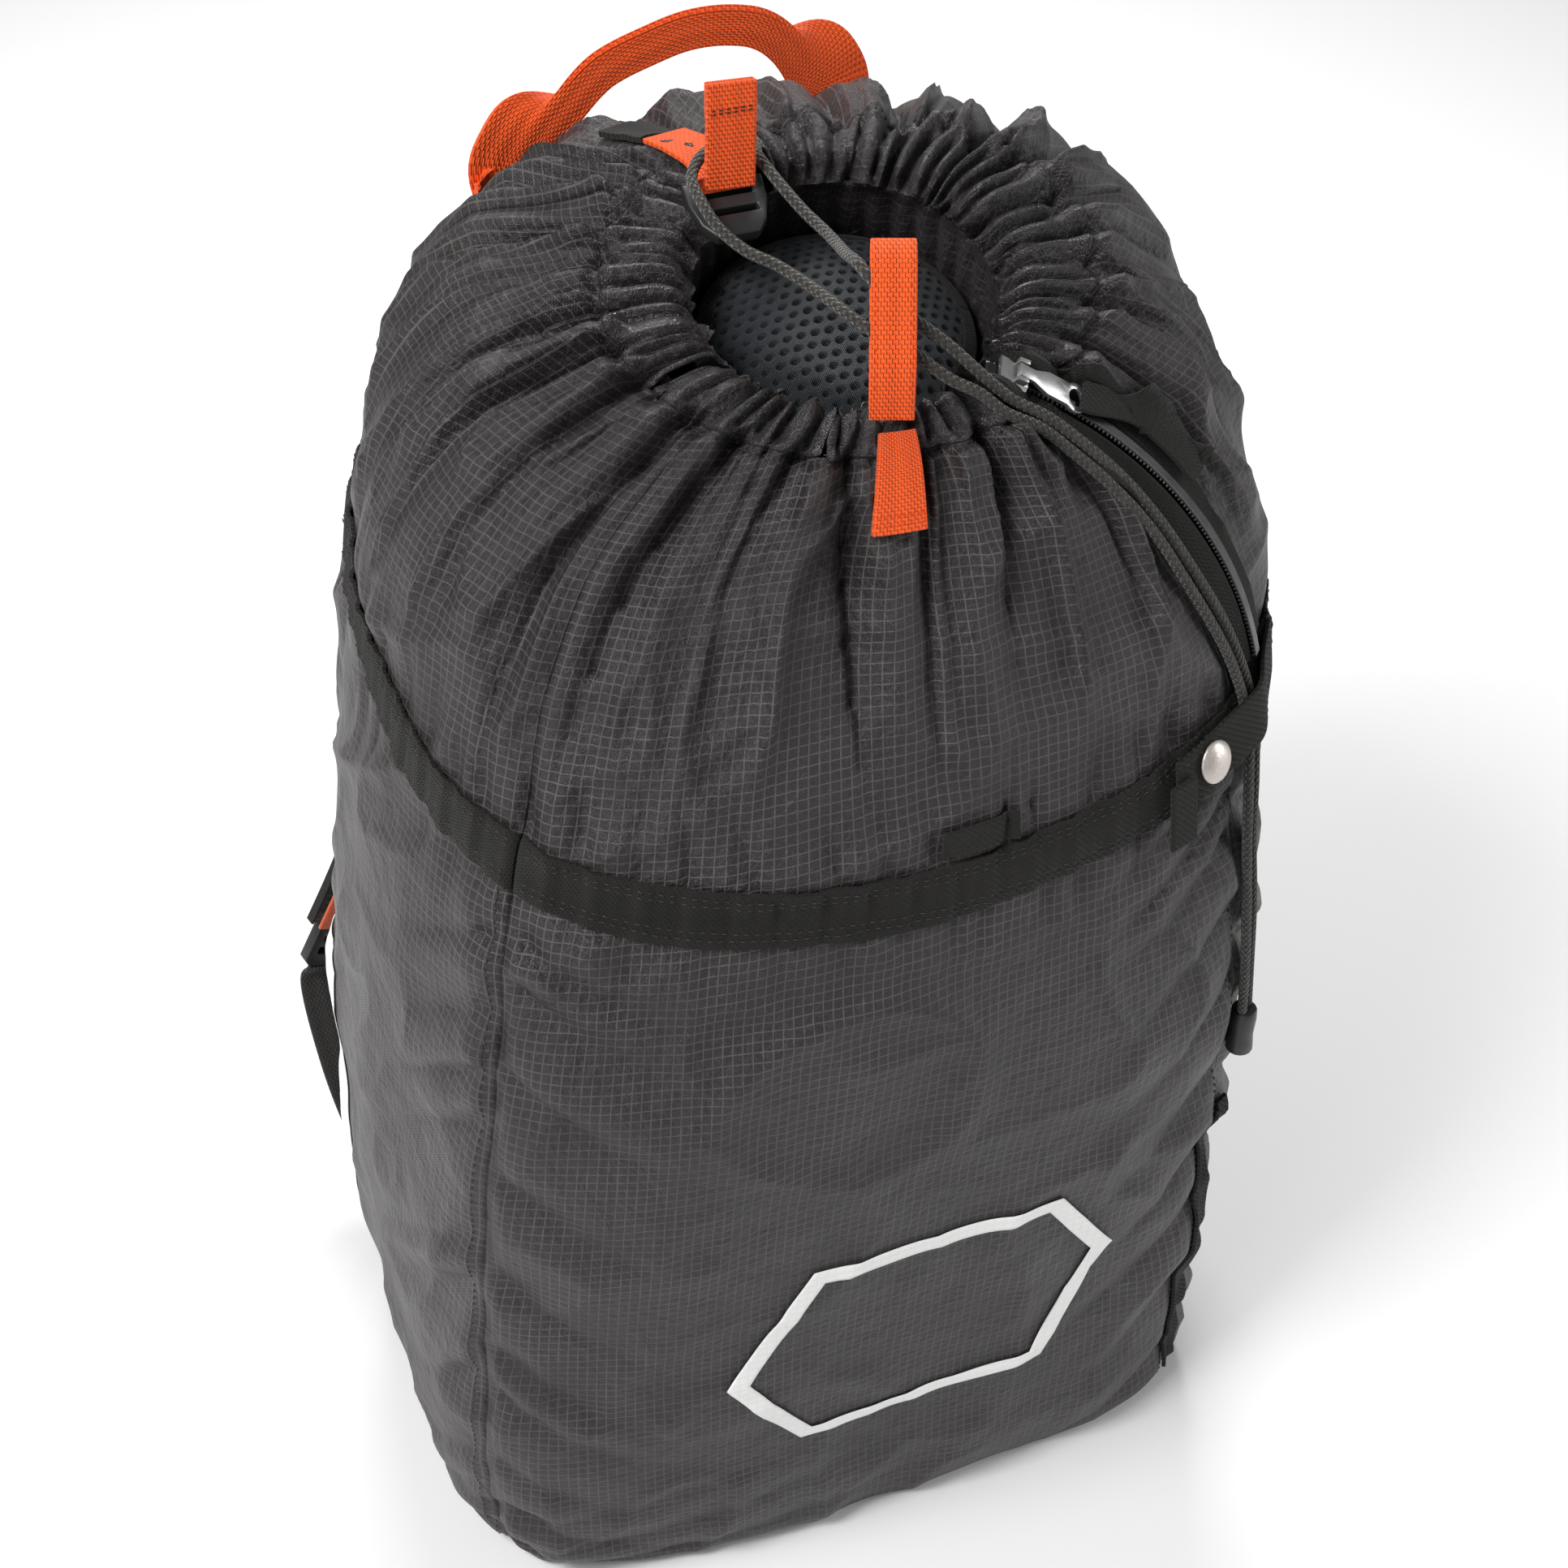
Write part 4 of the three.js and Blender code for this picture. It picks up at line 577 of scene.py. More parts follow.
class Nodes:
    """Adds nodes to a tree and links them as their inputs are given."""

    def __init__(self, tree):
        self.tree = tree

    def add(self, kind, inputs=None, **settings):
        node = self.tree.nodes.new(kind)
        for key, value in settings.items():
            setattr(node, key, value)
        for key, value in (inputs or {}).items():
            self.give(node.inputs[key], value)
        return node

    def give(self, socket, value):
        """Links a socket to another's output, or sets its constant."""
        if isinstance(value, bpy.types.NodeSocket):
            self.tree.links.new(value, socket)
        else:
            socket.default_value = value

    def group(self, tree, inputs):
        return self.add("ShaderNodeGroup", inputs, node_tree=tree)

    def maths(self, operation, first, second=0.0, third=0.0, clamp=False):
        node = self.add(
            "ShaderNodeMath", {0: first, 1: second, 2: third}, operation=operation,
            use_clamp=clamp,
        )
        return node.outputs[0]

    def noise(self, where, scale, detail=3.0, roughness=0.55):
        found = self.add(
            "ShaderNodeTexNoise",
            {"Vector": where, "Scale": scale, "Detail": detail, "Roughness": roughness},
        )
        return found.outputs["Fac"]

    def spread(self, value, low, high, to_low=0.0, to_high=1.0):
        node = self.add(
            "ShaderNodeMapRange",
            {"Value": value, "From Min": low, "From Max": high, "To Min": to_low,
             "To Max": to_high},
        )
        return node.outputs[0]

    def mix(self, share, first, second):
        node = self.add("ShaderNodeMix", {0: share, 6: first, 7: second}, data_type="RGBA")
        return node.outputs[2]


def new_group(name, inputs, outputs):
    """A node group with its sockets, and the ends inside it."""
    group = bpy.data.node_groups.new(name, "ShaderNodeTree")
    for title, kind, value in inputs:
        socket = group.interface.new_socket(title, in_out="INPUT", socket_type=kind)
        if value is not None:
            socket.default_value = value
    for title, kind in outputs:
        group.interface.new_socket(title, in_out="OUTPUT", socket_type=kind)
    nodes = Nodes(group)
    given = nodes.add("NodeGroupInput").outputs
    return group, nodes, given, nodes.add("NodeGroupOutput").inputs


FLOAT, VECTOR = "NodeSocketFloat", "NodeSocketVector"


def thread_weave_group():
    """Crossing threads: a height and a tint that differ from thread to thread."""
    group, nodes, given, out = new_group(
        "thread weave",
        [("Cloth", VECTOR, None), ("Across", FLOAT, 1000.0), ("Along", FLOAT, 1000.0),
         ("Repeat", FLOAT, 2.0)],
        [("Height", FLOAT), ("Tint", FLOAT)],
    )
    parts = nodes.add("ShaderNodeSeparateXYZ", {0: given["Cloth"]}).outputs
    across = nodes.maths("MULTIPLY", parts[0], given["Across"])
    along = nodes.maths("MULTIPLY", parts[1], given["Along"])
    cells = nodes.maths(
        "ADD", nodes.maths("FLOOR", across), nodes.maths("FLOOR", along)
    )
    turn = nodes.maths("FLOORED_MODULO", cells, given["Repeat"])
    over = nodes.maths("LESS_THAN", turn, 0.5)
    ridge = [
        nodes.maths(
            "SINE", nodes.maths("MULTIPLY", nodes.maths("FRACT", way), math.pi)
        )
        for way in (across, along)
    ]
    under = nodes.maths("MULTIPLY", ridge[1], nodes.maths("SUBTRACT", 1.0, over))
    height = nodes.maths("MULTIPLY_ADD", ridge[0], over, nodes.maths("MULTIPLY", under, 0.8))
    nodes.tree.links.new(height, out["Height"])
    thread = nodes.add(
        "ShaderNodeCombineXYZ", {0: nodes.maths("FLOOR", across), 1: nodes.maths("FLOOR", along)}
    )
    tint = nodes.add("ShaderNodeTexWhiteNoise", {"Vector": thread.outputs[0]})
    nodes.tree.links.new(tint.outputs["Value"], out["Tint"])
    return group


def ripstop_grid_group():
    """The thicker threads that cross at an even pitch."""
    group, nodes, given, out = new_group(
        "ripstop grid",
        [("Cloth", VECTOR, None), ("Pitch", FLOAT, 0.0032), ("Line", FLOAT, 0.13)],
        [("Mask", FLOAT)],
    )
    parts = nodes.add("ShaderNodeSeparateXYZ", {0: given["Cloth"]}).outputs
    lines = []
    for part in (parts[0], parts[1]):
        cell = nodes.maths("FRACT", nodes.maths("DIVIDE", part, given["Pitch"]))
        away = nodes.maths("ABSOLUTE", nodes.maths("SUBTRACT", cell, 0.5))
        lines.append(
            nodes.maths("LESS_THAN", away, nodes.maths("MULTIPLY", given["Line"], 0.5))
        )
    nodes.tree.links.new(nodes.maths("MAXIMUM", *lines), out["Mask"])
    return group


def wear_group():
    """Uneven colour over a piece: broad blotches and a fine dust."""
    group, nodes, given, out = new_group(
        "handling wear",
        [("Place", VECTOR, None), ("Size", FLOAT, 20.0), ("Dust size", FLOAT, 900.0)],
        [("Blotch", FLOAT), ("Dust", FLOAT)],
    )
    blotch = nodes.spread(nodes.noise(given["Place"], given["Size"]), 0.3, 0.7)
    nodes.tree.links.new(blotch, out["Blotch"])
    dust = nodes.noise(given["Place"], given["Dust size"], 2.0, 0.7)
    nodes.tree.links.new(nodes.spread(dust, 0.6, 0.8), out["Dust"])
    return group


THREAD_WEAVE = thread_weave_group()
RIPSTOP_GRID = ripstop_grid_group()
HANDLING_WEAR = wear_group()


def shade(colour, factor):
    """The colour, lighter or darker by a factor."""
    return (*[min(c * factor, 1) for c in colour[:3]], 1)


def new_finish(name, roughness, metallic=0.0, sheen=0.0, specular=0.5):
    """A new material with its node helper and its surface node."""
    finish = bpy.data.materials.new(name)
    finish.use_nodes = True
    nodes = Nodes(finish.node_tree)
    surface = finish.node_tree.nodes["Principled BSDF"]
    surface.inputs["Roughness"].default_value = roughness
    surface.inputs["Metallic"].default_value = metallic
    surface.inputs["Sheen Weight"].default_value = sheen
    surface.inputs["Sheen Roughness"].default_value = 0.45
    surface.inputs["Specular IOR Level"].default_value = specular
    return finish, nodes, surface


def cloth_place(nodes):
    """Places in metres on the flat cloth."""
    return nodes.add("ShaderNodeUVMap", uv_map="cloth").outputs[0]


def object_place(nodes):
    """Places in metres in the object's own space."""
    return nodes.add("ShaderNodeTexCoord").outputs["Object"]


def bumped(nodes, surface, height, distance, strength=1.0, under=None):
    """Gives the surface a height, over another bump if there is one under it."""
    inputs = {"Height": height, "Distance": distance, "Strength": strength}
    if under:
        inputs["Normal"] = under
    bump = nodes.add("ShaderNodeBump", inputs).outputs["Normal"]
    nodes.tree.links.new(bump, surface.inputs["Normal"])
    return bump


def ripstop_finish(name, colour, line_colour, roughness, sheen, creased):
    """Thin nylon: a light grid, fine plain weave and small crumples."""
    finish, nodes, surface = new_finish(name, roughness, sheen=sheen)
    cloth, place = cloth_place(nodes), object_place(nodes)
    grid = nodes.group(RIPSTOP_GRID, {"Cloth": cloth})
    weave = nodes.group(THREAD_WEAVE, {"Cloth": cloth, "Across": 2600, "Along": 2600})
    wear = nodes.group(HANDLING_WEAR, {"Place": place, "Size": 14})
    base = nodes.mix(wear.outputs["Blotch"], shade(colour, 0.82), shade(colour, 1.18))
    base = nodes.mix(nodes.maths("MULTIPLY", weave.outputs["Tint"], 0.25), base,
                     shade(colour, 1.6))
    worn_line = nodes.spread(nodes.noise(place, 40.0), 0.3, 0.7, 0.45, 0.85)
    line = nodes.maths("MULTIPLY", grid.outputs["Mask"], worn_line)
    base = nodes.mix(line, base, line_colour)
    base = nodes.mix(nodes.maths("MULTIPLY", wear.outputs["Dust"], 0.12), base,
                     shade(line_colour, 1.4))
    nodes.tree.links.new(base, surface.inputs["Base Color"])
    rough = nodes.spread(wear.outputs["Blotch"], 0, 1, roughness - 0.07, roughness + 0.08)
    nodes.tree.links.new(rough, surface.inputs["Roughness"])
    crumple = nodes.noise(place, 75.0, 6.0, 0.62)
    big = bumped(nodes, surface, crumple, creased)
    fine = nodes.maths("MULTIPLY_ADD", grid.outputs["Mask"], 1.0,
                       nodes.maths("MULTIPLY", weave.outputs["Height"], 0.35))
    bumped(nodes, surface, fine, 0.00022, 1.0, big)
    return finish


def webbing_finish(name, colour, across, along, repeat, height, tint=0.35, roughness=0.8,
                   sheen=0.3, ribs=0.0):
    """Woven tape or webbing: crossing threads, ribs, a little fuzz and painted shade in the
    weave's hollows.
    """
    finish, nodes, surface = new_finish(name, roughness, sheen=sheen, specular=0.3)
    cloth, place = cloth_place(nodes), object_place(nodes)
    threads = {"Cloth": cloth, "Across": across, "Along": along, "Repeat": repeat}
    weave = nodes.group(THREAD_WEAVE, threads)
    wear = nodes.group(HANDLING_WEAR, {"Place": place, "Size": 30})
    # Painted shade mask: 1 where the weave is lowest. Below, these hollows are darkened towards a
    # third of the colour.
    weave_hollow_shade = nodes.spread(weave.outputs["Height"], 0.0, 0.9, 0.9, 0.0)
    base = nodes.mix(nodes.maths("MULTIPLY", weave.outputs["Tint"], tint), colour,
                     shade(colour, 1.35))
    base = nodes.mix(nodes.maths("MULTIPLY", weave_hollow_shade, 0.75), base, shade(colour, 0.35))
    base = nodes.mix(nodes.maths("MULTIPLY", wear.outputs["Blotch"], 0.25), base,
                     shade(colour, 0.75))
    nodes.tree.links.new(base, surface.inputs["Base Color"])
    parts = nodes.add("ShaderNodeSeparateXYZ", {0: cloth}).outputs
    rib = nodes.maths("SINE", nodes.maths("MULTIPLY", parts[0], 2 * math.pi * across / 8))
    tall = nodes.maths("MULTIPLY_ADD", rib, ribs, weave.outputs["Height"])
    fuzz = nodes.maths("MULTIPLY_ADD", nodes.noise(place, 2500.0, 2.0), 0.4, tall)
    bumped(nodes, surface, fuzz, height)
    return finish


def braid_finish(name, colour):
    """Round braided cord: two sets of strands that cross on the slant, with painted shade between
    them.
    """
    finish, nodes, surface = new_finish(name, 0.72, sheen=0.25, specular=0.35)
    cloth, place = cloth_place(nodes), object_place(nodes)
    parts = nodes.add("ShaderNodeSeparateXYZ", {0: cloth}).outputs
    around = nodes.maths("MULTIPLY", parts[0], 6.0)
    along = nodes.maths("MULTIPLY", parts[1], 420.0)
    waves = []
    for way in ("ADD", "SUBTRACT"):
        turn = nodes.maths(way, around, along)
        wave = nodes.maths("SINE", nodes.maths("MULTIPLY", turn, math.pi))
        waves.append(nodes.maths("ABSOLUTE", wave))
    height = nodes.maths("MULTIPLY", waves[0], waves[1])
    fleck = nodes.spread(nodes.noise(place, 420.0, 2.0, 0.7), 0.5, 0.62)
    # Painted shade: the cord is darkened to a third of its colour between the strands, where
    # their height is low.
    base = nodes.mix(nodes.spread(height, 0.0, 0.5), shade(colour, 0.3), colour)
    base = nodes.mix(nodes.maths("MULTIPLY", fleck, 0.35), base, shade(colour, 2.4))
    nodes.tree.links.new(base, surface.inputs["Base Color"])
    bumped(nodes, surface, height, 0.0006)
    return finish


def hard_finish(name, colour, roughness, metallic=0.0, grain=900.0, depth=0.00005, scratch=0.5):
    """Moulded plastic or metal: fine grain, faint scratches and uneven gloss."""
    finish, nodes, surface = new_finish(name, roughness, metallic)
    place = object_place(nodes)
    wear = nodes.group(HANDLING_WEAR, {"Place": place, "Size": 120})
    stretched = nodes.add("ShaderNodeMapping", {"Vector": place, "Scale": (2200, 160, 600)})
    scratches = nodes.noise(stretched.outputs[0], 1.0, 2.0, 0.6)
    fine = nodes.spread(scratches, 0.55, 0.75, 0.0, scratch)
    base = nodes.mix(fine, shade(colour, 0.9), shade(colour, 1.5))
    base = nodes.mix(nodes.maths("MULTIPLY", wear.outputs["Blotch"], 0.3), base,
                     shade(colour, 0.7))
    nodes.tree.links.new(base, surface.inputs["Base Color"])
    rough = nodes.spread(wear.outputs["Blotch"], 0, 1, roughness * 0.8, roughness * 1.3)
    nodes.tree.links.new(rough, surface.inputs["Roughness"])
    bumped(nodes, surface, nodes.noise(place, grain, 3.0), depth)
    return finish


def spacer_mesh_finish(name, colour):
    """Knitted spacer mesh: staggered holes between light knitted bars, the holes painted near
    black as shade.
    """
    finish, nodes, surface = new_finish(name, 0.5, sheen=0.05)
    cloth, place = cloth_place(nodes), object_place(nodes)
    parts = nodes.add("ShaderNodeSeparateXYZ", {0: cloth}).outputs
    hole = nodes.add("ShaderNodeAttribute", attribute_name="hole").outputs["Fac"]
    knit = nodes.maths("SINE", nodes.maths("MULTIPLY", parts[1], 9000.0))
    knit = nodes.maths("MULTIPLY", knit, nodes.maths(
        "SINE", nodes.maths("MULTIPLY", parts[0], 9000.0)))
    base = nodes.mix(nodes.spread(knit, -1, 1, 0.0, 0.6), shade(colour, 0.75),
                     shade(colour, 1.5))
    # Painted shade: the holes are coloured near black, for the shade inside them.
    base = nodes.mix(nodes.spread(hole, 0.25, 0.85), base, shade(colour, 0.12))
    nodes.tree.links.new(base, surface.inputs["Base Color"])
    height = nodes.maths("MULTIPLY_ADD", nodes.noise(place, 1500.0), 0.6, knit)
    bumped(nodes, surface, height, 0.00025)
    return finish


def print_finish(name, colour, under_colour):
    """Printed ink on ripstop: the cloth's grid shows through, with fine cracks."""
    finish, nodes, surface = new_finish(name, 0.55)
    cloth, place = cloth_place(nodes), object_place(nodes)
    grid = nodes.group(RIPSTOP_GRID, {"Cloth": cloth})
    cracks = nodes.spread(nodes.noise(place, 520.0, 4.0, 0.75), 0.64, 0.72)
    base = nodes.mix(nodes.maths("MULTIPLY", grid.outputs["Mask"], 0.14), colour,
                     shade(colour, 0.7))
    base = nodes.mix(nodes.maths("MULTIPLY", cracks, 0.3), base, under_colour)
    nodes.tree.links.new(base, surface.inputs["Base Color"])
    bumped(nodes, surface, grid.outputs["Mask"], 0.0002)
    return finish


CHARCOAL = (0.0140, 0.0104, 0.0112, 1)
GRID_GREY = (0.098, 0.086, 0.086, 1)
ripstop = ripstop_finish("charcoal ripstop", CHARCOAL, GRID_GREY, 0.44, 0.02, 0.0040)
tunnel_ripstop = ripstop_finish(
    "tunnel ripstop", (0.020, 0.017, 0.018, 1), (0.05, 0.045, 0.045, 1), 0.22, 0.02, 0.0048
)
twill = webbing_finish("black twill tape", (0.0105, 0.0098, 0.0080, 1), 1500, 1500, 3, 0.0003,
                       0.5, 0.82, 0.06)
orange_webbing = webbing_finish("orange webbing", (1.0, 0.105, 0.010, 1), 1250, 800, 2,
                                0.0004, 0.3, 0.72, 0.08, 0.4)
orange_lining = webbing_finish("orange lining", (0.85, 0.13, 0.03, 1), 2200, 2200, 2, 0.0002)
dark_webbing = webbing_finish("dark webbing", (0.028, 0.026, 0.025, 1), 1100, 750, 2, 0.0004,
                              0.5, 0.75, 0.2, 0.4)
cord_braid = braid_finish("braided cord", (0.034, 0.031, 0.025, 1))
black_plastic = hard_finish("black moulded plastic", (0.018, 0.018, 0.019, 1), 0.42)
zip_black = hard_finish("black zip coil", (0.012, 0.012, 0.013, 1), 0.35)
zip_metal = hard_finish("silver zip metal", (0.62, 0.62, 0.62, 1), 0.3, 0.95, 1400, 0.00003)
snap_metal = hard_finish("pearl snap", (0.62, 0.57, 0.52, 1), 0.3, 0.5, 700, 0.00008)
spacer_mesh = spacer_mesh_finish("spacer mesh", (0.014, 0.020, 0.026, 1))
white_print = print_finish("white print", (0.86, 0.86, 0.85, 1), CHARCOAL)
foam = hard_finish("dark foam", (0.02, 0.02, 0.021, 1), 0.9, 0, 1500, 0.0002)
orange_thread = hard_finish("orange thread", (0.72, 0.06, 0.008, 1), 0.7, 0, 3000, 0.0001)
dark_thread = hard_finish("dark thread", (0.014, 0.013, 0.012, 1), 0.75, 0, 3000, 0.0001)
grey_thread = hard_finish("grey thread", (0.034, 0.031, 0.029, 1), 0.75, 0, 3000, 0.0001)
black_thread = hard_finish("black thread", (0.012, 0.012, 0.012, 1), 0.7, 0, 3000, 0.0001)

# ------------------------------------------------------------------------------ drawcord

CORD_RADIUS = 0.0017
# The strands' places in millimetres, from the mouth to the cord end.
LEFT_STRAND = [
    (-17.5, 28, 485), (-12.5, 28, 485.5), (-8, 27.5, 490), (-6.5, 24.5, 495.5),
    (-9.5, 21.5, 498.5), (-15, 18.5, 500), (-21.5, 15, 499), (-26, 9, 496.5), (-26, 1, 493.5),
    (-24, -8, 489.5), (-19, -17, 486), (-12.5, -24, 484), (-6, -36.5, 482), (-2, -48, 481),
    (2, -55.5, 479), (7, -59.5, 476.5), (12.5, -63, 473.5), (22, -67, 465.5), (31, -68, 459.5),
    (38.5, -69.5, 452.5), (49.5, -70.5, 445.5), (60, -72.5, 435.5), (72.5, -75.5, 422.5),
    (84.5, -79.5, 407), (95.5, -84.5, 388.5), (106, -88, 369.5), (112, -89, 357),
    (117.5, -90, 342.5), (118.8, -91.2, 335.5), (119.5, -93.5, 329.5), (119, -99, 312.5),
    (118.5, -104, 293.5), (120, -108.5, 265.5), (121.5, -111.5, 239.5), (123, -112, 220),
]
RIGHT_STRAND = [
    (-1, 32, 486.5), (-4.5, 30.5, 486.5), (-4, 28.5, 490.5), (-2, 23.5, 495), (-4, 15.5, 496.5),
    (-2, 8, 493.5), (2.5, -4, 488), (5.5, -14.5, 486), (5.5, -24.5, 487), (4, -35, 490),
    (3.5, -44.5, 492.5), (5, -50, 490.5), (9, -54, 487), (13.5, -58.5, 482), (23, -62, 473.5),
    (33, -65, 463), (41.5, -66.5, 454.5), (52, -68.5, 447.5), (62.5, -70.5, 438), (75, -73, 425),
    (87, -76.5, 409.5), (98.5, -81.5, 391), (109, -85, 372), (115, -86, 359),
    (121.5, -87, 341.5), (123, -90.5, 329.5), (122.5, -96, 313), (122, -100.5, 293.5),
    (123.5, -105.5, 266), (125, -108, 239.5), (126.5, -109, 220),
]
cord_end = refined_copy("cord_end", 0.0005, [black_plastic])
for label, route in (("left", LEFT_STRAND), ("right", RIGHT_STRAND)):
    route = np.array(route) * MM
    strand, line, length = tube_along(
        f"drawcord_{label}", route, CORD_RADIUS, [f"drawcord_strand_{label}"], [cord_braid],
    )
for label, from_angle, to_angle in (("left", 290, 118), ("right", 315, 460)):
    held = on_form(np.linspace(from_angle, to_angle, 13), 9.5, -0.0046)
    tube_along(
        f"drawcord_in_tunnel_{label}", held, CORD_RADIUS, [f"drawcord_{label}_in_tunnel"],
        [cord_braid], sides=8, step=0.003,
    )

# ------------------------------------------------------------------------------ sack panels

CLOTH = 0.0007


def cloth_measures():
    """Distances round and up the cloth for its UV map, from the smooth form."""
    round_step = np.linalg.norm(np.roll(smooth_table, -1, 1) - smooth_table, axis=-1)
    up_step = np.linalg.norm(np.diff(smooth_table, axis=0), axis=-1)
    rows = {"body": int(3 / LEVEL_CELL), "collar": int(6.9 / LEVEL_CELL)}
    round_way = {
        part: np.concatenate([[0], np.cumsum(round_step[row])]) for part, row in rows.items()
    }
    up_way = np.vstack([np.zeros(len(TABLE_ANGLES)), np.cumsum(up_step, axis=0)])
    return round_way, up_way


ROUND_WAY, UP_WAY = cloth_measures()


def cloth_uv(part, angle, level):
    """A place's distances round and up the cloth, in metres."""
    way = ROUND_WAY[part]
    whole_turns = math.floor(angle / 360)
    u = way[-1] * whole_turns + float(
        np.interp((angle % 360) / ANGLE_CELL, np.arange(len(way)), way)
    )
    column = int((angle % 360) / ANGLE_CELL) % len(TABLE_ANGLES)
    row = min(max(level / LEVEL_CELL, 0), len(TABLE_LEVELS) - 1.001)
    low = int(row)
    v = UP_WAY[low, column] + (row - low) * (UP_WAY[low + 1, column] - UP_WAY[low, column])
    return u, float(v)


def skin_panel(name, part, angles, levels, nodes, finish, columns, rows, cloth=CLOTH,
               hem=None):
    """A panel of the sack's own cloth, between two edges, with its hem rolled if hem is given."""
    from_angle, to_angle = angles
    from_level, to_level = levels

    def where(a, b):
        guess = 5.9 + (COLLAR_TOP - 5.9) * b
        start, end = at(from_angle, guess), at(to_angle, guess)
        angle = start + (end - start) * a
        low, high = at(from_level, angle), at(to_level, angle)
        return angle, low + (high - low) * b

    def place(a, b):
        angle, level = where(a, b)
        return on_skin(angle, level, hem(angle, level, a) if hem else 0.0)

    bm = cloth_grid(columns, rows, place, (1, 1, lambda a, b: cloth_uv(part, *where(a, b))))
    thicken(bm, cloth)
    return finished(name, bm, nodes, "shell", [finish])


def slot_edge(side):
    """The collar's edge beside the zip: its angle at each level."""

    def edge(level):
        middle = zip_angle(level)
        return middle + side * degrees_for(0.0078, middle, level)

    return edge


BODY_ROWS, COLLAR_ROWS = 150, 100
for name, start, end in (
    ("front_panel", LEFT_SEAM, RIGHT_SEAM),
    ("left_panel", BACK_LEFT_SEAM, LEFT_SEAM),
    ("right_panel", RIGHT_SEAM, BACK_RIGHT_SEAM),
    ("back_panel", BACK_RIGHT_SEAM - 360, BACK_LEFT_SEAM),
):
    columns = int((end - start) / ANGLE_CELL)
    skin_panel(name + "_cloth", "body", (start, end), (0.0, band_level), [name], ripstop,
               columns, BODY_ROWS)
for name, start, end, turn in (
    ("collar_front", LEFT_SEAM, slot_edge(-1), 98),
    ("collar_left", BACK_LEFT_SEAM, LEFT_SEAM, 80),
    ("collar_right", slot_edge(1), BACK_RIGHT_SEAM, 80),
    ("collar_back", BACK_RIGHT_SEAM - 360, BACK_LEFT_SEAM, 100),
):
    skin_panel(name + "_cloth", "collar", (start, end), (band_level, TUNNEL_FOOT), [name],
               ripstop, int(turn / 0.6), COLLAR_ROWS)


def rolled_hem(ends):
    """The tunnel's cut ends are turned in and stitched, so they stand a little thicker."""

    def lift(angle, level, a):
        near = np.minimum(a, 1 - a) * (ends[1] - ends[0])
        return 0.0009 * bell(near - 1.0, 1.1) - 0.0014 * bell(near, 0.6)

    return lift


for name, start, end in (
    ("tunnel_left", 115, 201.5),
    ("tunnel_front_left", 203.5, 246.5),
    ("tunnel_front", 248.5, 292),
    ("tunnel_right", 312, 373),
    ("tunnel_back_right", 375, 462),
):
    skin_panel(name + "_cloth", "collar", (start, end), (TUNNEL_FOOT, RIM_LEVEL), [name],
               tunnel_ripstop, int((end - start) / 0.5), 70,
               hem=rolled_hem((start, end)))


def tunnel_inside():
    """The tunnel's inner layer, from the rolled rim down to the mesh flap, fully gathered."""

    def place(a, b):
        angle = -360 * a
        rim = on_skin(angle, 10.98, -0.0006)
        turn = np.radians(angle)
        ripple = 1 + 0.022 * np.sin(34 * turn + 4 * b) * smooth_step(b, 0.05, 0.4)
        x = 0.0455 * np.cos(turn) * ripple
        y = 0.0425 * np.sin(turn) * ripple
        z = -0.002 - 0.031 * b
        weave_hollow_shade = from_mouth(x, y, z).T - (0.0005, 0.0003, 0)
        return rim + (weave_hollow_shade - rim) * smooth_step(b, 0, 0.25)[:, None]

    bm = cloth_grid(360, 24, place, (0.62, 0.03), closed=True)
    thicken(bm, CLOTH)
    return finished("tunnel_inside", bm, ["tunnel_lining"], "shell",
                    [tunnel_ripstop])


tunnel_inside()


def base_cloth():
    """The base: the cloth turned under the panels, slightly sunk in its middle."""

    def place(a, b):
        edge = on_form(360 * a, 0.0, -0.0008)
        middle = np.array([-0.008, -0.005, 0.0])
        share = 1 - b[:, None]
        point = middle + (edge - middle) * share
        point[:, 2] = 0.0002 + 0.0016 * smooth_step(1 - share[:, 0], 0.03, 0.3)
        return point

    bm = cloth_grid(240, 30, place, (1, 1, lambda a, b: (
        0.28 * (1 - b) * math.cos(2 * math.pi * a), 0.22 * (1 - b) * math.sin(2 * math.pi * a))),
        closed=True)
    bmesh.ops.remove_doubles(bm, verts=bm.verts, dist=1e-5)
    bm.normal_update()
    if sum(face.normal.z for face in bm.faces) > 0:
        bmesh.ops.reverse_faces(bm, faces=bm.faces)
    thicken(bm, 0.001)
    return finished("base_cloth", bm, ["base_panel"], "shell", [ripstop])


base_cloth()
back_foam = sewn_patch("back_foam_sheet", (60, 120), (1.2, 5.8), -0.010, 0.004, (40, 40),
                       (0.14, 0.27), ["back_foam"], [foam], 0.001, surface=on_form)

# One row of stitches beside each seam, and two rows round the foot of the tunnel.
for seam in SEAMS:
    levels = np.linspace(0.3, float(band_level(seam)) - 0.2, 200)
    angles = seam - 1.7 + 0 * levels
    sewn_stitches(f"seam_stitching_{seam}", angles, levels, 0.0002, [grey_thread])
for start, end in ((-46, 196), (206, 288)):
    angles = np.linspace(start, end, 700)
    for level in (9.19, 9.33):
        sewn_stitches(f"tunnel_foot_stitching_{start + 46}_{round(level * 100)}", angles,
                      level, 0.0001, [grey_thread], length=0.0018, gap=0.001)

# ------------------------------------------------------------------------------ hem band


TAPE_THICKNESS, BAND_ROWS_OF_STITCHES = 0.0015, (-0.0065, -0.0045, 0.0045, 0.0065)


def band_lift(angle):
    """The band's outer face off the cloth, with a slight ripple."""
    return 0.0022 + (0.0005 * np.sin(angle * 1.1) + 0.0004 * np.sin(angle * 2.3 + 1))


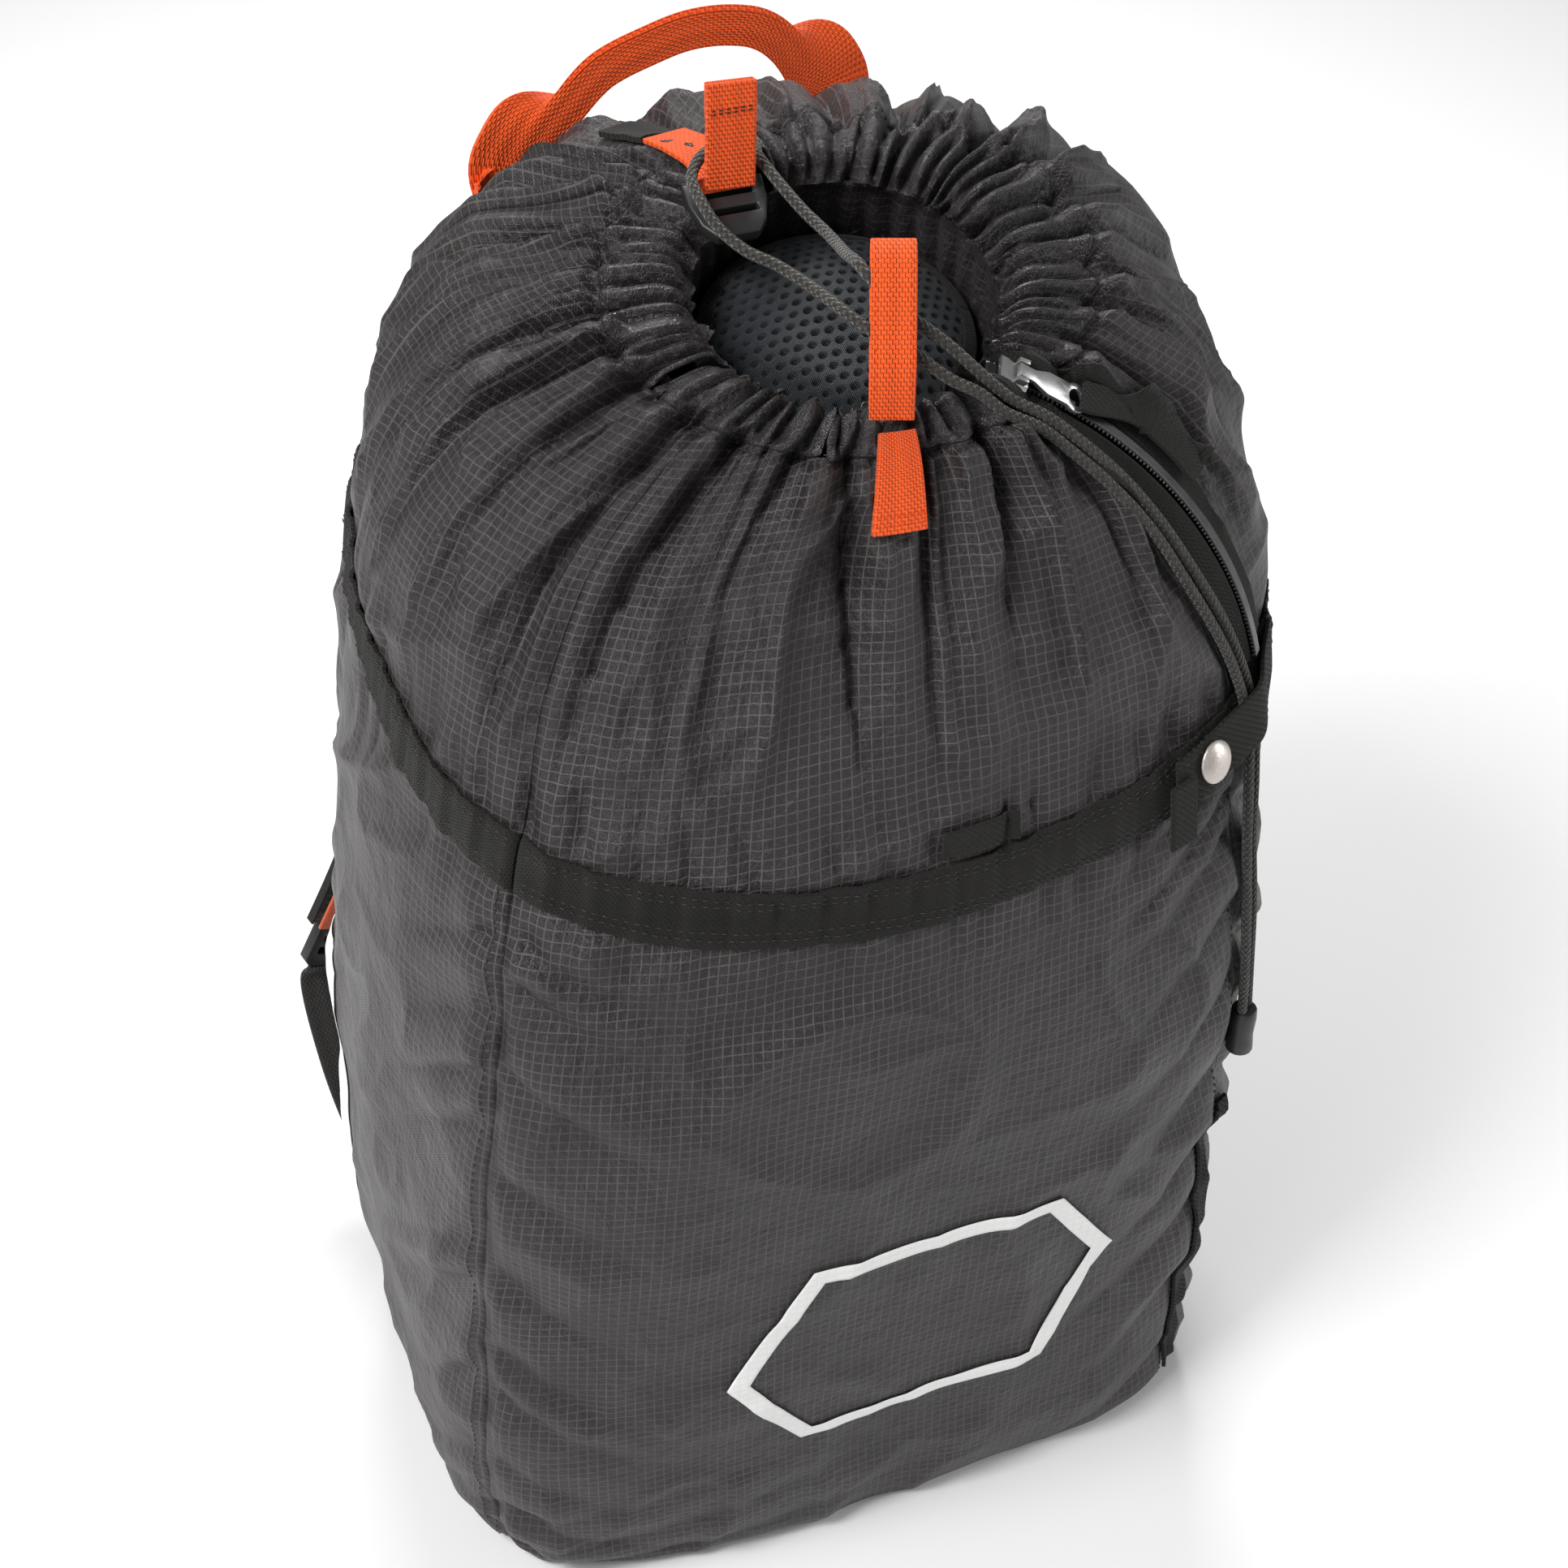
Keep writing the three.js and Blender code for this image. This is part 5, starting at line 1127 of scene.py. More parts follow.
def band_piece(name, start, end, nodes):
    """One length of the hem band with its four rows of stitches."""

    def place(a, b):
        angle = start + (end - start) * a
        level = off_band(angle, (b - 0.5) * BAND_WIDTH)
        edge = 0.0006 * np.abs(2 * b - 1) ** 4
        return on_skin(angle, level, band_lift(angle) - edge)

    run = float(np.radians(end - start) * 0.15)
    bm = cloth_grid(int((end - start) / 0.9), 8, place, (run, BAND_WIDTH))
    thicken(bm, TAPE_THICKNESS, 0.0003)
    finished(name + "_tape", bm, nodes, "shell", [twill])
    angles = np.linspace(start + 1, end - 1, 400)
    for k, off in enumerate(BAND_ROWS_OF_STITCHES):
        sewn_stitches(f"{name}_stitching_{k}", angles, off_band(angles, off),
                      band_lift(angles), [grey_thread])


for name, start, end in (
    ("hem_band_front", LEFT_SEAM, FLAP_HINGE_ANGLE),
    ("hem_band_left", BACK_LEFT_SEAM, LEFT_SEAM),
    ("hem_band_right", FLAP_HINGE_ANGLE, BACK_RIGHT_SEAM),
    ("hem_band_back", BACK_RIGHT_SEAM - 360, BACK_LEFT_SEAM),
):
    band_piece(name, start + 0.1, end - 0.1, [name])


def patch_at(angle, level, half_width, half_height):
    """Angles and levels of a rectangle in metres round a place."""
    half = float(degrees_for(half_width, angle, level))
    reach = float(levels_for(half_height, angle, level))
    return (angle - half, angle + half), (level - reach, level + reach)


TAB_ANGLE = 274.8
tab_level = float(off_band(TAB_ANGLE, 0.016))
tab_angles, tab_levels = patch_at(TAB_ANGLE, tab_level, 0.0125, 0.0045)
sewn_patch("front_tape_tab_piece", tab_angles, tab_levels, 0.0006, 0.0014, (16, 8),
           (0.025, 0.009), ["front_tape_tab"], [twill])
sewn_patch("side_welt_piece", (RIGHT_SEAM - 1.6, RIGHT_SEAM + 1.6), (1.05, 3.2), 0.0008,
           0.0016, (8, 90), (0.009, 0.15), ["side_welt"], [twill])

# ------------------------------------------------------------------------------ zip

ZIP_TOP_LEVEL, ZIP_FOOT_LEVEL, CHAIN_LIFT = 10.3, 6.2, 0.003
CHAIN_WIDTH, COIL_HEIGHT, CORE_WIDTH = 0.0054, 0.0013, 0.0036
TOOTH_PITCH, TOOTH_HALF_SIZE = 0.0016, (0.0015, 0.00052, 0.00085)
TAPE_WIDTH, PULL_TAB_WIDTH, PULL_TAB_LENGTH = 0.0125, 0.012, 0.048
ZIP_TILT = math.radians(33)


def zip_frame():
    """The zip lies on one arc through its top, middle and foot: centre, axis and so on."""
    levels = (ZIP_TOP_LEVEL, (ZIP_TOP_LEVEL + ZIP_FOOT_LEVEL) / 2, ZIP_FOOT_LEVEL)
    first, second, third = (on_exact(zip_angle(level), level, CHAIN_LIFT) for level in levels)
    u, v = second - first, third - first
    n = np.cross(u, v)
    toward = np.dot(v, v) * np.cross(n, u) + np.dot(u, u) * np.cross(v, n)
    centre = first + toward / (2 * np.dot(n, n))
    axis = n / np.linalg.norm(n)
    radius = np.linalg.norm(first - centre)
    start = (first - centre) / radius
    turn = np.cross(axis, start)
    foot = third - centre
    sweep = math.atan2(np.dot(foot, turn), np.dot(foot, start))
    return centre, axis, radius, start, turn, sweep * radius


def on_exact(degrees, level, lift):
    """A place off the smooth form, by its exact slope."""
    round_way = smooth_point(degrees + 1, level) - smooth_point(degrees - 1, level)
    up_way = smooth_point(degrees, min(level + 0.02, RIM_LEVEL)) - smooth_point(
        degrees, level - 0.02
    )
    out = np.cross(round_way, up_way)
    return smooth_point(degrees, level) + out / np.linalg.norm(out) * lift


ZIP_CENTRE, ZIP_AXIS, ZIP_RADIUS, ZIP_START, ZIP_TURN, CHAIN_LENGTH = zip_frame()


def from_zip(along, across, above):
    """Beside the chain: distance along it from its top, across it and above it."""
    turn = (np.asarray(along) / ZIP_RADIUS)[..., None]
    out = ZIP_START * np.cos(turn) + ZIP_TURN * np.sin(turn)
    across, above = np.asarray(across)[..., None], np.asarray(above)[..., None]
    reach = ZIP_RADIUS + math.cos(ZIP_TILT) * above + math.sin(ZIP_TILT) * across
    side = math.cos(ZIP_TILT) * across - math.sin(ZIP_TILT) * above
    return ZIP_CENTRE + out * reach + ZIP_AXIS * side


def level_beside(along):
    """The level on the sack beside each distance along the chain."""
    levels = np.linspace(ZIP_FOOT_LEVEL - 1, RIM_LEVEL, 800)
    line = smooth_point(zip_angle(levels), levels) - ZIP_CENTRE
    turns = np.arctan2(line @ ZIP_TURN, line @ ZIP_START) * ZIP_RADIUS
    order = np.argsort(turns)
    return np.interp(along, turns[order], levels[order])


def beside_zip(along, across, lift):
    """A place on the cloth beside the zip, at a distance across from its middle."""
    level = level_beside(along)
    middle = zip_angle(level)
    return on_skin(middle + degrees_for(across, middle, level), level, lift)


def zip_chain():
    """The coil: one small tooth after another on each side, over a woven core."""

    def place(a, b):
        return from_zip(b * CHAIN_LENGTH, (a - 0.5) * CORE_WIDTH, COIL_HEIGHT + 0 * a)

    bm = cloth_grid(6, 120, place, (CORE_WIDTH, CHAIN_LENGTH))
    thicken(bm, 0.0008)
    count = int(CHAIN_LENGTH / TOOTH_PITCH)
    for k in range(count):
        for side in (-1, 1):
            along = (k + 0.5 + 0.25 * side) * CHAIN_LENGTH / count
            middle, side_way, up_way = (
                from_zip(along, side * 0.00125 + dx, COIL_HEIGHT + dz)
                for dx, dz in ((0, 0), (0.001, 0), (0, 0.001))
            )
            x, z = Vector(unit(side_way - middle)), Vector(unit(up_way - middle))
            turn = Matrix((x, z.cross(x), z)).transposed().to_4x4()
            size = Matrix.Diagonal((*TOOTH_HALF_SIZE, 1))
            bmesh.ops.create_uvsphere(
                bm, u_segments=8, v_segments=5, radius=1,
                matrix=Matrix.Translation(Vector(middle)) @ turn @ size,
            )
    return finished("zip_coil", bm, ["zip_chain"], "shell", [zip_black])


def zip_tape(name, side, node):
    """The tape on one side: it leaves the coil and settles on the cloth."""
    inner = CHAIN_WIDTH / 2 + 0.0001

    def place(a, b):
        out = a if side > 0 else 1 - a
        along = b * CHAIN_LENGTH
        widening = smooth_step(along, 0.008, 0.026)
        reach = 0.0072 + 0.0053 * widening
        across = side * (inner + (reach - inner) * out)
        near = from_zip(along, side * inner, 0.0006 + 0 * a)
        far = beside_zip(along, across, 0.0014 + 0 * a)
        share = smooth_step(out, 0.0, 0.45)[:, None]
        return near + (far - near) * share

    bm = cloth_grid(10, 140, place, (TAPE_WIDTH, CHAIN_LENGTH))
    thicken(bm, 0.0008, 0.0002)
    piece = finished(name, bm, [node], "shell", [twill])
    along = np.linspace(0.012, CHAIN_LENGTH - 0.002, 200)
    across = side * 0.0095 + 0 * along
    stitches(name + "_stitching", beside_zip(along, across, 0.0016),
             beside_zip(along, across, 0.02) - beside_zip(along, across, 0.0), [dark_thread])
    return piece


zip_chain()
zip_tape("zip_tape_front_piece", -1, "zip_tape_front")
zip_tape("zip_tape_side_piece", 1, "zip_tape_side")
refined_copy("zip_slider", 0.0005, [zip_metal], 3)
refined_copy("zip_puller", 0.0004, [zip_metal], 2)

PULL_TAB_START = 0.0297


def zip_pull_tab():
    """The fabric tab that hangs from the puller and settles beside the zip."""

    def place(a, b):
        along = PULL_TAB_START + b * PULL_TAB_LENGTH
        settle = smooth_step(b, 0, 0.5)
        width = PULL_TAB_WIDTH * (0.8 + 0.2 * settle)
        across = 0.0015 + (0.0126 - 0.0015) * settle + (a - 0.5) * width
        lift = 0.0050 + 0.0004 * np.sin(b * 9)
        near = from_zip(along, across, lift)
        far = beside_zip(along, across, lift)
        return near + (far - near) * settle[:, None]

    bm = cloth_grid(8, 40, place, (PULL_TAB_WIDTH, PULL_TAB_LENGTH))
    thicken(bm, 0.0016, 0.0004)
    return finished("zip_pull_tab_piece", bm, ["zip_pull_tab"], "pull_tab",
                    [twill])


zip_pull_tab()

# ------------------------------------------------------------------------------ snap flap

FLAP_LIFT, FLAP_THICKNESS = 0.0035, 0.0014


def flap_under(angle):
    """The flap's inner face off the smooth form, higher where it passes over the cords."""
    return FLAP_LIFT + 0.0039 * bell(angle - 316, 4)


def snap_flap():
    """The flap over the zip's foot, which carries the band on to its free end."""

    def place(a, b):
        angle = FLAP_FREE_ANGLE + (FLAP_HINGE_ANGLE - FLAP_FREE_ANGLE) * a
        level = off_band(angle, (b - 0.5) * BAND_WIDTH)
        return on_form(angle, level, flap_under(angle) + FLAP_THICKNESS)

    bm = cloth_grid(60, 8, place, (0.062, BAND_WIDTH))
    thicken(bm, FLAP_THICKNESS, 0.0003)
    finished("snap_flap_piece", bm, ["snap_flap"], "flap", [twill])
    angles = np.linspace(FLAP_FREE_ANGLE + 1, FLAP_HINGE_ANGLE - 1, 100)
    for k, off in enumerate((-0.0065, 0.0065)):
        sewn_stitches(f"snap_flap_stitching_{k}", angles, off_band(angles, off),
                      flap_under(angles) + FLAP_THICKNESS, [grey_thread], on_form,
                      body="flap")


snap_flap()
refined_copy("snap_cap", 0.0003, [snap_metal], 3)
FLAP_TAB_ANGLE, FLAP_TAB_HALF_TURN = 301.3, 1.9
sewn_patch(
    "flap_pull_tab_piece",
    (FLAP_TAB_ANGLE - FLAP_TAB_HALF_TURN, FLAP_TAB_ANGLE + FLAP_TAB_HALF_TURN),
    (float(off_band(FLAP_TAB_ANGLE, -0.017)), float(off_band(FLAP_TAB_ANGLE, 0.003))),
    FLAP_LIFT + FLAP_THICKNESS + 0.0004, 0.002, (10, 24), (0.01, 0.02), ["flap_pull_tab"],
    [twill], 0.0007, "flap", on_form,
)

# ------------------------------------------------------------------------------ mesh flap

MESH_HALF_WIDTH, MESH_HALF_DEPTH, MESH_HEIGHT, MESH_FLOOR = 0.041, 0.037, 0.016, -0.025
MESH_MIDDLE = (-0.001, -0.002)
HOLE_PITCH = 0.0042
HOLE_ROW = 0.87 * HOLE_PITCH


def hole_share(x, y):
    """1 in the middle of each hole of the spacer mesh, 0 on the knitted bars."""
    row = np.floor(y / HOLE_ROW)
    shift = (row % 2) * 0.5
    u = (x / HOLE_PITCH + shift) % 1 - 0.5
    v = (y / HOLE_ROW) % 1 - 0.5
    return np.clip(1.25 - 3.1 * np.hypot(u * 0.95, v * 1.1), 0, 1)


def mesh_flap():
    """A soft dome of spacer mesh: its holes are sunk in the sheet, and its edge is bound."""

    def dome(x, y):
        far = np.clip(np.hypot(x, y), 0, 1)
        return 0.55 * (1 - far**2.4) + 0.45 * np.sqrt(np.clip(1 - far**2, 0, 1))

    def place(a, b):
        x, y = 2 * a - 1, 2 * b - 1
        # A square grid laid on a disc.
        round_x = x * np.sqrt(1 - y * y / 2)
        round_y = y * np.sqrt(1 - x * x / 2)
        flat = np.stack([round_x * MESH_HALF_WIDTH, round_y * MESH_HALF_DEPTH], 1)
        far = np.hypot(round_x, round_y)
        sag = 0.0022 * np.sin(5 * round_x + 2) * np.sin(4 * round_y) * (1 - far)
        hole = hole_share(flat[:, 0], flat[:, 1]) * smooth_step(1 - far, 0.02, 0.1)
        z = MESH_FLOOR + 0.002 + MESH_HEIGHT * 0.86 * dome(round_x, round_y) + sag
        z = z - 0.0013 * smooth_step(hole, 0.1, 0.9)
        return from_mouth(MESH_MIDDLE[0] + flat[:, 0], MESH_MIDDLE[1] + flat[:, 1], z).T

    middle = Vector(from_mouth(*MESH_MIDDLE, 0))
    bm = cloth_grid(220, 220, place, (2 * MESH_HALF_WIDTH, 2 * MESH_HALF_DEPTH))
    # Each vertex's hole share: the spacer mesh's material paints the holes near black as shade.
    hole_layer = bm.verts.layers.float.new("hole")
    for vert in bm.verts:
        local = vert.co - middle
        back = local.y * math.cos(MOUTH_LEAN) + local.z * math.sin(MOUTH_LEAN)
        vert[hole_layer] = float(hole_share(np.float64(local.x), np.float64(back)))
    thicken(bm, 0.002)
    cloth = finished("mesh_flap_cloth", bm, ["mesh_flap"], "mesh_lid",
                     [spacer_mesh])
    turn = np.linspace(0, 2 * math.pi, 121)
    edge = from_mouth(
        MESH_MIDDLE[0] + (MESH_HALF_WIDTH - 0.0015) * np.cos(turn),
        MESH_MIDDLE[1] + (MESH_HALF_DEPTH - 0.0015) * np.sin(turn),
        MESH_FLOOR + 0.004 + 0 * turn,
    ).T
    out = from_mouth(0, 0, 1) - from_mouth(0, 0, 0)
    outward = unit(edge - edge.mean(0))
    binding = strip_along(edge, 0.75 * outward - 0.65 * out, 0.006, 0.0012, 6, closed=True)
    finished("mesh_flap_binding", binding, (), "mesh_lid", [twill])


mesh_flap()

# ------------------------------------------------------------------------------ front loop

LOOP_OPENING, LOOP_WIDTH = 0.0075, 0.0125
LOOP_TURN = math.radians(20)
loop_lean = unit(np.array([0.06, 0.5, 0.86]))
loop_across = np.array([math.cos(LOOP_TURN), -math.sin(LOOP_TURN), 0])
loop_out = unit(np.cross(loop_across, loop_lean))
loop_up = np.cross(loop_out, loop_across)
loop_foot = on_exact(LOOP_ANGLE, 9.75, 0.0008) + loop_lean * 0.0026


def front_loop():
    """The standing part of the loop: one length of webbing up, over and down again."""
    wide = LOOP_OPENING + WEBBING_THICKNESS
    outline = [
        (0.0008, 0.0006), (0.0008, 0.012), (0.0008, 0.026), (0.0008, 0.040),
        (0.0016, 0.0460), (0.0045, 0.0483), (0.0077, 0.0458), (0.0008 + wide, 0.040),
        (0.0009 + wide, 0.028), (0.0006 + wide, 0.015), (0.0070, 0.0080), (0.0040, 0.0030),
        (0.0028, 0.0006),
    ]
    points = [loop_foot + loop_out * x + loop_up * y for x, y in outline]
    line, _ = smooth_line(points, 90)
    bm = strip_along(line, -loop_across, LOOP_WIDTH, WEBBING_THICKNESS, 8)
    finished("front_loop_webbing", bm, ["front_loop"], "loop",
             [orange_webbing])
    for side in (-1, 1):
        edge = line[8:82] + loop_across * side * 0.0048
        out = unit(np.cross(-loop_across, unit(np.gradient(line, axis=0))))[8:82]
        stitches(f"front_loop_edge_{side + 1}", edge + out * WEBBING_THICKNESS * 0.5, out,
                 [orange_webbing], 0.0012, 0.0022, 0.0004, "loop")


front_loop()
loop_angles, _ = patch_at(LOOP_ANGLE, 9.1, LOOP_WIDTH / 2, 0.01)
sewn_patch("front_loop_foot_webbing", loop_angles, (8.5, 9.7), 0.0036, 0.0026, (12, 50),
           (LOOP_WIDTH, 0.045), ["front_loop_foot"], [orange_webbing], 0.0005,
           surface=on_form)
for k, level in enumerate((8.58, 8.66)):
    angles = np.linspace(loop_angles[0] + 0.5, loop_angles[1] - 0.5, 30)
    sewn_stitches(f"front_loop_bartack_{k}", angles, level, 0.0061, [orange_thread],
                  on_form, length=0.0012, gap=0.0001, width=0.0007)

# ------------------------------------------------------------------------------ haul handle

# The arch: a share of the way from end to end, and a share of the rise.
HANDLE_WIDTH, HANDLE_RISE = 0.026, 0.038
HANDLE_ENDS, HANDLE_STEPS = ((119, 7.3), (72, 7.5)), 120
HANDLE_ARCH = [
    (0, 0), (0, 0.24), (0.08, 0.49), (0.19, 0.67), (0.325, 0.865), (0.456, 0.955), (0.58, 1),
    (0.705, 0.955), (0.83, 0.81), (0.94, 0.54), (1, 0.24), (1, 0),
]


def haul_handle():
    """Webbing that is flat at its sewn ends and folded in half along its middle."""
    left, right = (on_exact(angle, level, 0.006) for angle, level in HANDLE_ENDS)
    chord = right - left
    up = np.array([0, 0, 1.0])
    up = unit(up - chord * np.dot(up, chord) / np.dot(chord, chord))
    back = unit(np.cross(up, chord))
    line, length = smooth_line(
        [left + chord * share + up * rise * HANDLE_RISE for share, rise in HANDLE_ARCH],
        HANDLE_STEPS,
    )
    tangent = unit(np.gradient(line, axis=0))
    inward = unit(np.cross(tangent, back))
    if inward[HANDLE_STEPS // 2][2] > 0:
        inward = -inward

    def place(a, b):
        row = np.rint(b * (HANDLE_STEPS - 1)).astype(int)
        fold = smooth_step(b, 0.08, 0.36) * (1 - smooth_step(b, 0.68, 0.93))
        side = 2 * a - 1
        half = HANDLE_WIDTH / 2
        hinge = -half / 2 * fold
        # One half stays; the other turns about the middle until it lies behind the first.
        angle = math.pi * 0.97 * fold
        turning = side < 0
        reach = np.abs(side) * half
        swing = np.where(turning, math.pi - angle, 0.0)
        way_in, way_back = np.cos(swing), np.sin(swing)
        apart = 0.0009 * fold * np.where(turning, 1, -1) * smooth_step(reach, 0, 0.003)
        flat = hinge + reach * way_in
        weave_hollow_shade = 0.4 * reach * way_back + apart
        return line[row] + inward[row] * flat[:, None] + back * weave_hollow_shade[:, None]

    bm = cloth_grid(28, HANDLE_STEPS - 1, place, (HANDLE_WIDTH, length))
    thicken(bm, 0.0013, 0.0003)
    finished("haul_handle_webbing", bm, ["haul_handle"], "handle",
             [orange_webbing])


haul_handle()
for label, (angle, level) in zip(("left", "right"), HANDLE_ENDS):
    half = float(degrees_for(HANDLE_WIDTH / 2, angle, level))
    sewn_patch(
        f"haul_handle_end_{label}_webbing", (angle - half, angle + half),
        (level - 0.45, level + 0.12), lambda a, l, top=level: 0.0008 + 0.0045 * smooth_step(
            l, top - 0.12, top + 0.12), WEBBING_THICKNESS, (20, 24), (HANDLE_WIDTH, 0.022),
        [f"haul_handle_end_{label}"], [orange_webbing], 0.0004,
    )
    for k, (low, high) in enumerate(((-0.4, -0.4), (-0.1, -0.1), (-0.4, -0.1), (-0.1, -0.4))):
        angles = np.linspace(angle - half * 0.8, angle + half * 0.8, 40)
        levels = np.linspace(level + low, level + high, 40)
        sewn_stitches(f"haul_handle_box_{label}_{k}", angles, levels, 0.0025,
                      [black_thread])

# ------------------------------------------------------------------------------ top strap

STRAP_WIDTH = 0.015
sewn_patch("top_strap_anchor_piece", (108, 118), (8.35, 8.8), 0.0008, 0.0018, (16, 14),
           (0.02, 0.02), ["top_strap_anchor"], [twill], 0.0005)


def top_strap():
    """The closing strap from its anchor to the buckle, and its turn over the buckle's bar."""
    points = [on_exact(114, 8.86, 0.0044), on_exact(115.5, 9.3, 0.0046),
              on_exact(117, 9.75, 0.005), from_mouth(-0.027, 0.0389, 0.0052)]
    line, _ = smooth_line(points, 60)
    bm = strip_along(line, SIDEWAYS, STRAP_WIDTH, WEBBING_THICKNESS, 10)
    finished("top_strap_webbing", bm, ["top_strap"], "closing_strap",
             [orange_webbing])
    inside = from_mouth(
        -0.027 + 0 * np.linspace(0, 1, 30), np.linspace(0.0385, 0.0335, 30),
        0.0072 + 0.0016 * np.sin(np.linspace(0, math.pi, 30)),
    ).T
    over = strip_along(inside, SIDEWAYS, STRAP_WIDTH, 0.0012, 10)
    finished("strap_over_buckle_bar", over, (), "closing_strap",
             [orange_webbing])


top_strap()
refined_copy("hook_buckle", 0.0007, [black_plastic], 3)


def strap_tail():
    """The tail stands out of the buckle; its end is folded over and stitched."""
    points = [from_mouth(-0.026, 0.0334, 0.008), from_mouth(-0.0256, 0.037, 0.015),
              from_mouth(-0.025, 0.042, 0.026), from_mouth(-0.0245, 0.047, 0.036)]
    line, length = smooth_line(points, 60)
    bm = strip_along(line, SIDEWAYS, STRAP_WIDTH, WEBBING_THICKNESS, 10)
    finished("strap_tail_webbing", bm, ["strap_tail"], "tail",
             [orange_webbing])
    tangent = unit(np.gradient(line, axis=0))
    out = unit(np.cross(SIDEWAYS, tangent))
    fold = line[40:] - out[40:] * 0.0016
    turned = strip_along(fold, SIDEWAYS, STRAP_WIDTH - 0.0006, 0.0014, 10)
    finished("strap_tail_fold", turned, (), "tail", [orange_webbing])
    across = np.linspace(-0.0065, 0.0065, 20)[:, None] * SIDEWAYS
    for k, row in enumerate((43, 45)):
        for side in (-1, 1):
            up = out[row] * side
            stitches(f"strap_tail_stitching_{k}_{side + 1}",
                     line[row] + across + up * (0.0009 if side > 0 else 0.0025),
                     np.broadcast_to(up, across.shape), [black_thread], 0.0014, 0.0006,
                     0.0005, "tail")


strap_tail()

# ------------------------------------------------------------------------------ shoulder straps

# Each place on a route: angle on the left side, level and lift in millimetres.
PAD_ROUTE = [(113, 6.86, 10), (112.5, 6.3, 21), (113.5, 5.6, 31), (115.5, 4.65, 40),
             (118.5, 3.7, 44.5), (123, 3.0, 46), (129, 2.4, 50)]
LOWER_ROUTE = [(134.5, 1.75, 32), (136.8, 1.48, 15), (138, 1.4, 7)]
PAD_WIDTH, PAD_TOP_WIDTH, PAD_NARROWING, PAD_THICKNESS = 0.052, 0.026, 0.012, 0.007


def mirrored(angle, side):
    """The left strap's angle, or the same one on the right."""
    return angle if side < 0 else 180 - angle


